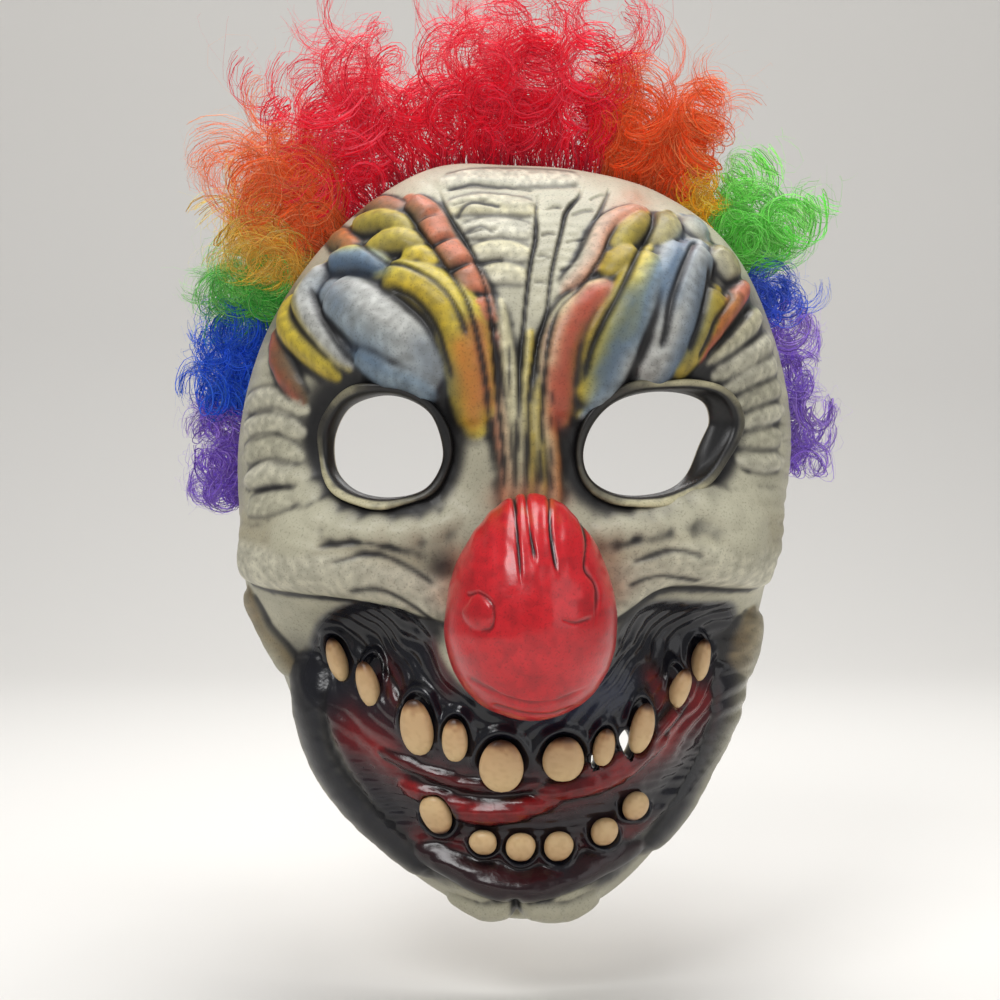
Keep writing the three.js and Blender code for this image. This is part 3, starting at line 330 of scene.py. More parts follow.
# Holes through the wall, by their corners. The lid round each is a roll of that half width and
# height in mm. A shelf is how far its lower part reaches into the hole at the right.
HOLES = table("name roll high shelf path",
    ("left_lid", 1.9, 3.2, 0, -.24, .262, -.278, .344, -.366, .385, -.465, .389, -.569, .357, -.626,
     .284, -.614, .204, -.535, .15, -.422, .132, -.308, .151, -.253, .202),
    ("right_lid", 1.9, 3.2, 6, .224, .241, .255, .317, .33, .374, .444, .399, .615, .398, .699, .37,
     .734, .306, .686, .229, .599, .173, .474, .141, .345, .14, .254, .176),
    ("nose_edge", 1.2, 1.4, 0, -.13, -.118, -.08, .008, .044, .068, .168, .008, .218, -.118, .168,
     -.242, .044, -.302, -.08, -.242),
    ("mouth_gap_wide", .9, 1.9, 0, .335, -.47, .36, -.455, .385, -.49, .365, -.525, .345, -.5),
    ("mouth_gap_slim", .8, 1.9, 0, .243, -.515, .256, -.515, .259, -.54, .246, -.545),
)

# Where the cream of the eyelids shows on the black: turn round the hole and its spread in
# degrees, and strength.
LID_CREAM = dict(left_lid=[(240, 62, 1), (130, 26, .55)], right_lid=[(268, 66, 1), (65, 58, .9)])
LID_ROUND = 0.75  # power of a lid's section, less than 1 is squarer
LID_BEHIND = 0.9  # mm that a lid stands behind the lining

NOSE = dict(u=0.044, v=-0.118, y=-24.0, half=(28.5, 31.0, 38.0), lean=0.17)
WART = dict(x=-17, z=1, radius=5.4, high=1.0)  # on the nose, in mm from its middle
# Creases of the nose: wide, deep and their places, in mm from its middle
NOSE_CREASES = table("wide deep path",
    (.75, 1.1, -6, 40, -5, 24, -4, 10),
    (.6, .9, -2, 42, -1, 28, 1, 16),
    (.75, 1.1, 6, 40, 6, 26, 8, 12),
    (.7, .8, 14, 34, 18, 24, 17, 15, 21, 8, 20, -4),
    (.7, .7, 10, -1, 14, -2, 20, -1),
    (.7, .7, -21, 6, -17, 7, -13, 3, -14, -4, -20, -5),
    (.8, .6, -20, -22, 0, -29, 20, -24),
    (.8, .7, -12, -31, 4, -34, 16, -31),
)

# Teeth: middle in shares, wide and tall in mm, lean in degrees, root above or below.
TEETH = table("name u v wide tall lean root",
    ("upper_tooth_1", -.642, -.31, 7.2, 16.4, 15, 1),
    ("upper_tooth_2", -.512, -.359, 8.6, 17.2, 12, 1),
    ("upper_tooth_3", -.313, -.442, 12.2, 20.6, 5, 1),
    ("upper_tooth_4", -.188, -.468, 9.3, 15.6, 0, 1),
    ("upper_tooth_5", -.042, -.531, 15.7, 19.2, 0, 1),
    ("upper_tooth_6", .151, -.515, 15, 16.4, 0, 1),
    ("upper_tooth_7", .28, -.49, 7.8, 13.6, -10, 1),
    ("upper_tooth_8", .406, -.451, 9, 18.6, -10, 1),
    ("upper_tooth_9", .577, -.374, 7.2, 15, -15, 1),
    ("upper_tooth_10", .687, -.315, 6.7, 15.8, -5, 1),
    ("lower_tooth_1", -.25, -.672, 11.4, 15, 15, -1),
    ("lower_tooth_2", -.098, -.741, 10.1, 9.4, 0, -1),
    ("lower_tooth_3", .02, -.751, 10.7, 10.8, 0, -1),
    ("lower_tooth_4", .141, -.752, 10.7, 11.4, 0, -1),
    ("lower_tooth_5", .292, -.723, 10.4, 10.8, -5, -1),
    ("lower_tooth_6", .393, -.66, 10.4, 11, -10, -1),
)
TOOTH_THICK = 7.5
TOOTH_PROUD = 1.4

# The wig band and the strap, mm
BAND_THICK = 1.8
BAND_INSIDE = 12.0  # before the rim's edge, glued to the wall's inside
BAND_BEHIND = 34.0  # behind the rim's edge
BAND_TUCK = 0.4  # drawn in at the rim's edge
BAND_TURNS = (5.0, 178.0)  # degrees along the rim
SEAT_GAP = 0.95  # from the wall's inside to the band
SEAT_SLOPE = 0.16  # how the wall's inside leans in, mm for each mm before the rim
WEFT_THICK = 2.0
WEFT_GAP = 0.3
STRAP_WIDTH = 18.0
STRAP_THICK = 1.5
STRAP_HEIGHT = -45.0  # of its middle against the eyes
STRAP_INSIDE = 20.0  # before the rim's edge
STRAP_BACK = 190.0  # of its outer side behind the head

# Hair by colour along the rim: turns in degrees, long and coil (a ringlet's radius) in mm,
# rings is how many times a lock coils, bend its fall to one side in degrees.
HAIR = table("name start stop locks long coil rings bend tone tip",
    ("hair_purple_right", 9, 31, 15, 27, 4.5, 2.2, 50, "#a680e0", "#dcc4f6"),
    ("hair_blue_right", 31, 40, 7, 28, 4.5, 2.2, 50, "#4c72e0", "#90aaf6"),
    ("hair_green_right", 40, 50, 16, 50, 7, 2.8, 60, "#88e46c", "#ccf8b0"),
    ("hair_yellow_right", 50, 56, 7, 28, 4.5, 2, 40, "#ffcb38", "#ffe88c"),
    ("hair_orange_right", 56, 72, 24, 58, 8, 3, 60, "#ff7638", "#ffae78"),
    ("hair_red", 72, 124, 46, 78, 8, 3.3, 40, "#ff2c4c", "#ff7488"),
    ("hair_orange_left", 124, 133, 17, 68, 8.5, 3.1, 60, "#ff8440", "#ffbc8c"),
    ("hair_yellow_left", 133, 141, 11, 54, 7, 2.8, 60, "#f6cc5c", "#fdeca0"),
    ("hair_green_left", 141, 148, 10, 44, 7, 2.6, 60, "#62c860", "#c8f2a8"),
    ("hair_blue_left", 148, 162, 15, 38, 6.5, 2.6, 60, "#2c66dc", "#6ca4f6"),
    ("hair_purple_left", 162, 177, 13, 30, 5.5, 2.4, 60, "#9268d4", "#d0b4f4"),
)
LOCK_POINTS = 32
# Hair that reaches past these places, in mm from the middle and above, is pressed back by a share
HAIR_SIDE, HAIR_TOP, HAIR_PRESS = 125.0, 168.0, 0.45
# A lock's fibres: how many, their spread and wave in mm, half thickness in mm, share of the tip's
# tone, how far they lag round the coil in radians, and least and greatest reach along the lock.
FIBRES = table("per_lock spread wave thick tint loose least most",
    (11, 9, .7, .52, .3, .25, .88, 1),
    (8, 12, 1.3, .3, .5, .45, .8, 1.05),
    (3, 18, 3.4, .12, .6, .6, .8, 1.25),
)
FIBRE_FLAT = 0.4  # a fibre's thickness against its width


def smooth(x, low, high):
    """0 below low, 1 above high, and an S curve between."""
    t = np.clip((x - low) / (high - low), 0, 1)
    return t * t * (3 - 2 * t)


def bell(x):
    """1 at 0, falling off to both sides as a bell curve."""
    return np.exp(-(x**2))


def to_linear(colour):
    """sRGB as #rrggbb, or as numbers from 0 to 1, to linear light."""
    c = srgb(colour) if isinstance(colour, str) else np.asarray(colour, float)
    return np.where(c <= 0.04045, c / 12.92, ((np.maximum(c, 0) + 0.055) / 1.055) ** 2.4)


def srgb(name):
    """A paint of the palette, or a hex colour, as three numbers from 0 to 1."""
    text = PALETTE.get(name, name)
    return np.array([int(text[i : i + 2], 16) / 255 for i in (1, 3, 5)])


def noise(x, z, size, seed):
    """Value noise: random heights on a square lattice of that size in mm, blended smoothly."""
    lattice = np.random.default_rng(seed).random((64, 64))
    gx, gz = np.asarray(x) / size + 97.0, np.asarray(z) / size + 89.0
    ix, iz = np.floor(gx).astype(int), np.floor(gz).astype(int)
    fx, fz = smooth(gx - ix, 0, 1), smooth(gz - iz, 0, 1)
    a, b = lattice[ix % 64, iz % 64], lattice[(ix + 1) % 64, iz % 64]
    c, d = lattice[ix % 64, (iz + 1) % 64], lattice[(ix + 1) % 64, (iz + 1) % 64]
    return (a * (1 - fx) + b * fx) * (1 - fz) + (c * (1 - fx) + d * fx) * fz


def along_rim(turn, column):
    """A column of RIM at any turn: a smooth closed curve through its rows."""
    wrapped = np.mod(turn, 360.0)
    count = len(RIM)
    at = np.searchsorted(RIM[:, TURN], wrapped, side="right") - 1
    a, b, c, d = (RIM[(at + k) % count, column] for k in (-1, 0, 1, 2))
    here = RIM[at % count, TURN]
    s = (wrapped - here) / np.mod(RIM[(at + 1) % count, TURN] - here, 360.0)
    square = 2 * a - 5 * b + 4 * c - d
    cube = 3 * b - a - 3 * c + d
    return 0.5 * (2 * b + (c - a) * s + square * s**2 + cube * s**3)


def dome(u, v):
    """The bare dome's outer skin: y = rim - (rim + wall)(1 - share^B)^(1/B), and the share."""
    turn = np.degrees(np.arctan2(v, u))
    reach = along_rim(turn, REACH)
    spread = np.hypot(u, v)
    share = np.minimum(spread / reach, 1)
    pull = np.where(spread > reach, reach / np.maximum(spread, 1e-9), 1)
    rim = along_rim(turn, DEPTH) * HEAD_DEPTH
    y = rim - (rim + LATEX) * (1 - share**BULGE) ** (1 / BULGE)
    point = np.stack([u * pull * HALF_WIDTH, y, MIDDLE + v * pull * HALF_HEIGHT], -1)
    return point, share


def outward(point):
    """Unit direction in which the dome's own formula, share^B + (depth share)^B, rises."""

    def level(p):
        u, v = p[..., 0] / HALF_WIDTH, (p[..., 2] - MIDDLE) / HALF_HEIGHT
        turn = np.degrees(np.arctan2(v, u))
        rim = along_rim(turn, DEPTH) * HEAD_DEPTH
        share = np.hypot(u, v) / along_rim(turn, REACH)
        return share**BULGE + np.maximum(0, (rim - p[..., 1]) / (rim + LATEX)) ** BULGE

    steps = np.eye(3) * SLOPE_STEP
    rise = np.stack([level(point + e) - level(point - e) for e in steps], -1)
    return rise / np.linalg.norm(rise, axis=-1, keepdims=True)


def curve(places, count, closed=False):
    """Points in mm on the smooth curve through places given in shares."""
    return through(places * np.array((HALF_WIDTH, HALF_HEIGHT)), count, closed)


def through(places, count, closed=False):
    """Points on the smooth curve (Catmull-Rom) through the places."""
    p = np.asarray(places, float)
    if closed:
        p = np.vstack([p[-1], p, p[0], p[1]])
    else:
        p = np.vstack([2 * p[0] - p[1], p, 2 * p[-1] - p[-2]])
    pieces = len(p) - 3
    t = np.linspace(0, pieces, count, endpoint=not closed)
    i = np.minimum(t.astype(int), pieces - 1)
    s = (t - i)[:, None]
    a, b, c, d = p[i], p[i + 1], p[i + 2], p[i + 3]
    square = 2 * a - 5 * b + 4 * c - d
    cube = 3 * b - a - 3 * c + d
    return 0.5 * (2 * b + (c - a) * s + square * s**2 + cube * s**3)


def near_path(x, z, points, margin):
    """Of the places x, z, those within margin of a path: their numbers, distance from it,
    share along it, and side of it (1 to the left of its heading)."""
    low, high = points.min(0) - margin, points.max(0) + margin
    near = np.flatnonzero((x > low[0]) & (x < high[0]) & (z > low[1]) & (z < high[1]))
    px, pz = x[near], z[near]
    best = np.full(len(near), np.inf)
    along, side = np.zeros(len(near)), np.ones(len(near))
    legs = np.diff(points, axis=0)
    lengths = np.hypot(legs[:, 0], legs[:, 1])
    run = np.concatenate([[0], np.cumsum(lengths)])
    for i, (dx, dz) in enumerate(legs):
        ax, az = px - points[i, 0], pz - points[i, 1]
        t = np.clip((ax * dx + az * dz) / max(lengths[i] ** 2, 1e-9), 0, 1)
        gap = np.hypot(ax - t * dx, az - t * dz)
        closer = gap < best
        best[closer] = gap[closer]
        along[closer] = ((run[i] + t * lengths[i]) / run[-1])[closer]
        side[closer] = np.where(dx * az - dz * ax >= 0, 1.0, -1.0)[closer]
    return near, best, along, side


def inside_by(x, z, points):
    """How far a place lies inside a closed outline, in mm, less than 0 outside."""
    near, gap, _, _ = near_path(x, z, np.vstack([points, points[:1]]), 1e6)
    crossing = np.zeros(len(x), int)
    for (ax, az), (bx, bz) in zip(points, np.roll(points, -1, axis=0)):
        spans = (az > z) != (bz > z)
        with np.errstate(divide="ignore", invalid="ignore"):
            crossing += spans & (x < (bx - ax) * (z - az) / (bz - az) + ax)
    return np.where(crossing % 2 == 1, gap, -gap)


MOUTH_LINE = curve(MOUTH, 110, closed=True)
for hole in HOLES:
    hole["line"] = curve(hole["path"], 120, closed=True)


def soft_lift(u, v, share):
    """Height of the soft forms over the dome: rounded swellings that fade out to the rim,
    less the mouth's recess with its sloping edge."""
    lift = 0
    for f in FORMS:
        across, up = (u - f["u"]) / f["wide"], (v - f["v"]) / f["tall"]
        lift = lift + f["lift"] * RELIEF * np.exp(-(across**2) - up**2)
    mouth = smooth(inside_by(u * HALF_WIDTH, v * HALF_HEIGHT, MOUTH_LINE), 0, 6)
    return lift * smooth(1 - share, 0, RIM_FADE) - MOUTH_DEEP * mouth


def on_face(u, v, lift):
    """Points over the face: dome plus soft forms plus lift, along the way out."""
    point, share = dome(u, v)
    return point + outward(point) * (soft_lift(u, v, share) + lift)[..., None]


def face_places(across, up):
    """Places (u, v) of a square grid drawn out to the rim's outline."""
    a, b = np.meshgrid(np.linspace(-1, 1, across + 1), np.linspace(-1, 1, up + 1))
    x, z = a * np.sqrt(1 - b * b / 2), b * np.sqrt(1 - a * a / 2)
    turn = np.arctan2(z, x)
    share = np.sin(np.minimum(np.hypot(x, z), 1) * np.pi / 2) ** (2 / BULGE)
    reach = along_rim(np.degrees(turn), REACH) * share
    return (reach * np.cos(turn)).ravel(), (reach * np.sin(turn)).ravel()


def grid_faces(across, up, start=0, flip=False, close_across=False, close_up=False):
    """Quads between the points of a grid, its rows one after another."""
    row = across if close_across else across + 1
    rows = up if close_up else up + 1
    j, i = np.meshgrid(np.arange(up), np.arange(across), indexing="ij")
    i2, j2 = (i + 1) % row, (j + 1) % rows
    quads = np.stack([j * row + i, j * row + i2, j2 * row + i2, j2 * row + i], -1).reshape(-1, 4)
    return (quads[:, ::-1] if flip else quads) + start


def grid_edge(across, up):
    """The numbers of a grid's outer points, in order round it."""
    row = across + 1
    return np.concatenate([
        np.arange(across), np.arange(up) * row + across,
        up * row + np.arange(across, 0, -1), np.arange(up, 0, -1) * row,
    ])


def blur(values, rounds):
    """Each point of the outer skin averaged with its neighbours, that many times over."""
    grid = values.reshape(SKIN_UP + 1, SKIN_ACROSS + 1)
    for _ in range(rounds):
        p = np.pad(grid, 1, mode="edge")
        grid = (p[1:-1, :-2] + p[1:-1, 2:] + p[:-2, 1:-1] + p[2:, 1:-1]) / 8 + grid / 2
    return grid.ravel()


def coat(count, name):
    """One paint all over that many points."""
    return np.tile(srgb(name), (count, 1))


def lay(paint, over, weight, where=slice(None)):
    """A paint, by name or as numbers, laid over what is there, as thickly as weight says."""
    over = srgb(over) if isinstance(over, str) else over
    paint[where] += (over - paint[where]) * weight[..., None]


def stroke_all(paint, x, z, strokes, grain):
    """Airbrushed strokes: each fades as a bell curve from its path, broken up by the grain."""
    for s in strokes:
        near, gap, _, _ = near_path(x, z, curve(s["path"], 24), 3 * s["spread"])
        weight = s["strength"] * bell(gap / s["spread"]) * (0.7 + 0.5 * grain[near])
        lay(paint, s["paint"], np.clip(weight, 0, 1), near)


def wrinkles(x, z, name):
    """Height and waves, from 0 to 1, of one kind of fine wrinkle: a sine of the height z, which
    is first tilted to the sides and warped by noise."""
    row = next(row for row in WRINKLES if row["name"] == name)
    level = z + row["tilt"] * np.abs(x) + row["warp"] * noise(x, z, row["size"], row["seed"])
    return row["high"], 0.5 + 0.5 * np.sin(2 * np.pi * level / row["pitch"])


def skin(u, v):
    """The outer skin's height over the soft forms, its paint and how wet it shines. Folds are
    half-round rolls and the highest at a place wins; creases are cut as bell-shaped grooves;
    what lies lower than the skin around it is blacked in, partly as a black wash wiped into it
    and partly as painted shade."""
    x, z = u * HALF_WIDTH, v * HALF_HEIGHT
    grain, cloud = noise(x, z, 1.3, 1), noise(x, z, 9, 2)
    in_mouth = smooth(inside_by(x, z, MOUTH_LINE), -1.5, 2.5)
    paint = coat(len(u), "skin") * (0.9 + 0.16 * cloud + 0.06 * (grain - 0.5))[:, None]
    lay(paint, "pale", 0.5 * smooth(v, 0.6, 0.95))  # paler towards the top
    stroke_all(paint, x, z, UNDERCOAT, grain)
    for hole in HOLES[:2]:
        gap = -inside_by(x, z, hole["line"]) + 3 * (cloud - 0.5)
        reach = SOCKET_BLACK + SOCKET_ABOVE * smooth(z - hole["line"][:, 1].mean(), -8, 12)
        lay(paint, "black", 0.97 * (1 - smooth(gap, 0.45 * reach, reach)))
    lay(paint, "gum", in_mouth)
    mouth_paint = paint.copy()
    stroke_all(mouth_paint, x, z, MOUTH_PAINT, cloud)
    lay(paint, mouth_paint, in_mouth)

    crown, edge = np.zeros(len(u)), np.zeros(len(u))
    for f in FOLDS:
        margin = max(f["ease"], f["wide"]) + 3
        near, gap, along, side = near_path(x, z, curve(f["path"], 28), margin)
        swell = np.sin(np.pi * np.clip(along, 0.0, 1.0)) ** FOLD_TAPER
        wide = f["wide"] * (FOLD_POINT + (1 - FOLD_POINT) * swell)
        eased = (side > 0) & (f["ease"] > 0)
        share = gap / np.where(eased, f["ease"], wide)
        body = np.clip(1 - share**2, 0, 1) ** np.where(eased, EASE_ROUND, FOLD_ROUND)
        high = f["high"] * (FOLD_LOW + (1 - FOLD_LOW) * swell) * body
        if f["cushions"]:
            between = 0.5 + 0.5 * np.cos(2 * np.pi * f["cushions"] * along)
            high = high * (1 - PINCH_DEEP * between**PINCH_POWER)
        names = f["paints"].split()
        edge_black = EDGE_BLACK_PLAIN if set(names) <= set(PLAIN) else EDGE_BLACK
        line = edge_black * bell((gap - wide) / EDGE_BLACK_WIDE) * smooth(swell, 0.1, 0.5) * ~eased
        edge[near] = np.maximum(edge[near], line)
        higher = high > crown[near]
        where = near[higher]
        crown[where] = high[higher]
        stops = np.array([srgb(name) for name in names])
        across = 0.5 - 0.5 * side[higher] * share[higher] + 0.25 * (cloud[where] - 0.5)
        at = np.clip(across, 0, 1) * (len(stops) - 1)
        tint = np.stack([np.interp(at, np.arange(len(stops)), stop) for stop in stops.T], -1)
        thick = smooth(body[higher], 0.12, 0.6) * (0.84 + 0.16 * grain[where])
        lay(paint, tint * (0.8 + 0.32 * grain[where])[:, None], thick, where)
    # Black along each fold's edge, where it meets the skin: partly black wash, partly painted shade.
    lay(paint, "black", 0.95 * edge * (1 - smooth(crown, 1.2, 2.8)))

    cut = np.zeros(len(u))
    for c in CREASES:
        near, gap, along, _ = near_path(x, z, curve(c["path"], 40), c["wide"] * 3)
        wobble = 0.6 * (cloud[near] - 0.5)
        fade = smooth(np.minimum(along, 1 - along), 0, 0.12)
        depth = bell((gap + wobble) / c["wide"]) * fade
        cut[near] = np.maximum(cut[near], c["deep"] * depth)
    for b in BUMPS:
        away = np.hypot(x - b["u"] * HALF_WIDTH, z - b["v"] * HALF_HEIGHT) / b["radius"]
        rise = np.clip(1 - (away / BUMP_SPREAD) ** 2, 0, 1) ** BUMP_ROUND
        crown += b["high"] * rise
        lay(paint, "skin", 0.9 * smooth(rise, 0.12, 0.6) * (0.85 + 0.15 * grain))

    sides = smooth(np.abs(u), 0.66, 0.8) * smooth(v, -0.16, -0.04) * (1 - smooth(v, 0.5, 0.62))
    high, waves = wrinkles(x, z, "side")
    crown += high * sides * waves**0.6 * smooth(-crown, -2.4, -0.8)
    cheek = np.exp(-(((np.abs(x) - 48) / 30) ** 2) - ((z + 2) / 12) ** 2)
    high, waves = wrinkles(x, z, "cheek")
    crown += high * cheek * waves * cloud * (1 - smooth(crown, 3.0, 6.0))
    forehead = smooth(0.22 - np.abs(u - 0.02), 0, 0.05) * smooth(v, 0.62, 0.7)
    high, waves = wrinkles(x, z, "forehead")
    crown += high * forehead * waves
    upper = smooth(v, -0.6, -0.45)
    high, waves = wrinkles(x, z, "upper_gum")
    crown += high * (in_mouth * upper) * waves**0.8
    high, waves = wrinkles(x, z, "lower_gum")
    crown += high * (in_mouth * (1 - upper)) * waves

    collars = np.zeros(len(u))
    for t in TEETH:
        dx, dz = x - t["u"] * HALF_WIDTH, z - t["v"] * HALF_HEIGHT
        lean = math.radians(t["lean"])
        ax = dx * math.cos(lean) + dz * math.sin(lean)
        az = dz * math.cos(lean) - dx * math.sin(lean)
        ring = np.hypot(ax / (t["wide"] / 2), az / (t["tall"] / 2))
        rooted = smooth(az * t["root"], -0.25 * t["tall"], 0.2 * t["tall"])
        crown = np.maximum(crown, COLLAR_HIGH * bell((ring - 1.22) / 0.2) * rooted)
        crown = np.where(ring < 1.0, np.minimum(crown, 0.0), crown)
        collars = np.maximum(collars, bell((ring - 1.1) / 0.34) * (0.35 + 0.65 * rooted))
    lay(paint, "gum", np.clip(collars * 1.1, 0, 1))

    height = blur(crown, 4) - cut
    height += 0.35 * (noise(x, z, 2.6, 8) - 0.5) + 0.6 * (noise(x, z, 7, 9) - 0.5)
    share = np.hypot(u, v) / along_rim(np.degrees(np.arctan2(v, u)), REACH)
    height *= smooth(1 - share, 0, 0.05)
    for hole in HOLES[:2]:
        clear = -inside_by(x, z, hole["line"]) - 0.3 * hole["roll"]
        height = np.minimum(height, EDGE_LOW + EDGE_SLOPE * np.maximum(clear, 0))

    # What lies lower than the skin around it is laid black: partly black wash, partly painted shade in
    # the hollows.
    hollow = blur(height, HOLLOW_ROUNDS) - height
    wide_hollow = blur(height, WIDE_ROUNDS) - height
    soot = smooth(hollow + 0.2 * (grain - 0.5), *HOLLOW_BLACK_SMALL)
    soot = np.maximum(soot, 0.55 * smooth(wide_hollow, *HOLLOW_BLACK_WIDE))
    soot = np.maximum(soot, smooth(cut, *HOLLOW_BLACK_CUT)) * smooth(1 - share, 0.0, 0.03)
    lay(paint, "black", 0.95 * soot * (1 - 0.35 * in_mouth))
    stroke_all(paint, x, z, OVERSPRAY, grain)
    # The creases blacked again over the overspray: painted shade with the black wash.
    lay(paint, "black", 0.85 * smooth(cut, 0.5, 1.2))
    # The crests laid paler: partly dry-brushed paint, partly a painted highlight.
    crest_pale = smooth(-hollow, 0.35, 1.1) * (1 - in_mouth)
    lay(paint, "pale", 0.22 * crest_pale * grain)

    low = smooth(-v, 0.18, 0.34) * smooth(share, 0.9, 0.955)  # the jaw's outer edge
    lay(paint, srgb("skin") * 0.9, low * (0.75 + 0.25 * cloud))
    chin = np.exp(-(((u - 0.04) / 0.31) ** 4)) * smooth(-v + 0.03 * (cloud - 0.5), 0.845, 0.885)
    lay(paint, "skin", 0.8 * chin * (1 - soot))
    for channel in range(3):
        paint[:, channel] = blur(paint[:, channel], 2)
    wet = np.clip(in_mouth + 0.5 * smooth(-v, 0.3, 0.5) * (1 - low), 0, 1)
    return height, np.clip(paint, 0, 1), wet


def mesh_of(name, points, faces, paint=None, wet=None, uv=None, normals=None):
    """A smooth-shaded mesh object from points in mm and arrays of faces, with its paint, wetness,
    flat cloth coordinates and shading directions stored at the points."""
    mesh = bpy.data.meshes.new(name)
    mesh.vertices.add(len(points))
    mesh.vertices.foreach_set("co", (np.asarray(points) * MM).astype(np.float32).ravel())
    loops = np.concatenate([f.ravel() for f in faces]).astype(np.int32)
    sizes = np.concatenate([np.full(len(f), f.shape[1]) for f in faces])
    mesh.loops.add(len(loops))
    mesh.loops.foreach_set("vertex_index", loops)
    mesh.polygons.add(len(sizes))
    mesh.polygons.foreach_set("loop_start", (np.cumsum(sizes) - sizes).astype(np.int32))
    mesh.update(calc_edges=True)
    mesh.validate()
    mesh.polygons.foreach_set("use_smooth", np.ones(len(mesh.polygons), bool))
    if paint is not None:
        rgba = np.ones((len(points), 4), np.float32)
        rgba[:, :3] = to_linear(paint)
        layer = mesh.color_attributes.new("paint", "FLOAT_COLOR", "POINT")
        layer.data.foreach_set("color", rgba.ravel())
    if wet is not None:
        layer = mesh.attributes.new("wet", "FLOAT", "POINT")
        layer.data.foreach_set("value", wet.astype(np.float32))
    if uv is not None:
        layer = mesh.uv_layers.new(name="cloth")
        index = np.empty(len(mesh.loops), np.int32)
        mesh.loops.foreach_get("vertex_index", index)
        layer.data.foreach_set("uv", (uv[index] * MM).astype(np.float32).ravel())
    if normals is not None:
        mesh.normals_split_custom_set_from_vertices(normals)
    obj = bpy.data.objects.new(name, mesh)
    bpy.context.scene.collection.objects.link(obj)
    return obj


def place(obj, material, nodes=()):
    """The piece gets its material and slot, rides on the body and hides its frame nodes."""
    obj.data.materials.append(material)
    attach(obj, "root")
    if nodes:
        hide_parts(*nodes)
    return obj


def outside_hole(faces, u, v, hole):
    """The faces whose every corner lies clear of a hole, by a quarter of its roll."""
    away = -inside_by(u * HALF_WIDTH, v * HALF_HEIGHT, hole["line"])
    return faces[away[faces].min(1) > 0.25 * hole["roll"]]


def grid_normals(points, across, up):
    """Unit directions out of a grid: the slope along its rows crossed with the slope up them."""
    grid = points.reshape(up + 1, across + 1, 3)
    way = np.cross(np.gradient(grid, axis=1), np.gradient(grid, axis=0)).reshape(-1, 3)
    return way / np.maximum(np.linalg.norm(way, axis=1, keepdims=True), 1e-9)


def face_meshes():
    """The latex wall, with the holes' faces left out: the outer skin with its folds as bands of
    rows that meet at the same points and share their shading, then the lining, which is the
    inner skin a wall's thickness behind and the lip that joins it to the rim."""
    u, v = face_places(SKIN_ACROSS, SKIN_UP)
    height, paint, wet = skin(u, v)
    outer = on_face(u, v, height)
    shading = grid_normals(outer, SKIN_ACROSS, SKIN_UP)
    pieces = []
    for name, low, high in SKIN_BANDS:
        rows = slice(low * (SKIN_ACROSS + 1), (high + 1) * (SKIN_ACROSS + 1))
        quads = grid_faces(SKIN_ACROSS, high - low)
        for hole in HOLES:
            quads = outside_hole(quads, u[rows], v[rows], hole)
        pieces.append(mesh_of(
            name, outer[rows], [quads], paint[rows], wet[rows], normals=shading[rows]))

    inside = (SKIN_ACROSS // INSIDE_RATIO, SKIN_UP // INSIDE_RATIO)
    iu, iv = face_places(*inside)
    inner = on_face(iu, iv, np.full(len(iu), -LATEX))
    backs = grid_faces(*inside, flip=True)
    for hole in HOLES:
        backs = outside_hole(backs, iu, iv, hole)
    edge, within = grid_edge(SKIN_ACROSS, SKIN_UP), grid_edge(*inside)
    k = INSIDE_RATIO * np.arange(len(within))
    rim = [len(iu) + (k + step) % len(edge) for step in range(INSIDE_RATIO + 1)]
    lip = np.stack([*rim[::-1], within, np.roll(within, -1)], -1)
    pieces.append(mesh_of(
        "latex_lining", np.vstack([inner, outer[edge]]), [backs, lip],
        np.vstack([coat(len(iu), "inside"), paint[edge]]), np.zeros(len(iu) + len(edge)),
    ))
    return pieces


def squared(c, power):
    """A sine or cosine pushed out towards the corners, which squares a round section."""
    return np.sign(c) * np.abs(c) ** power


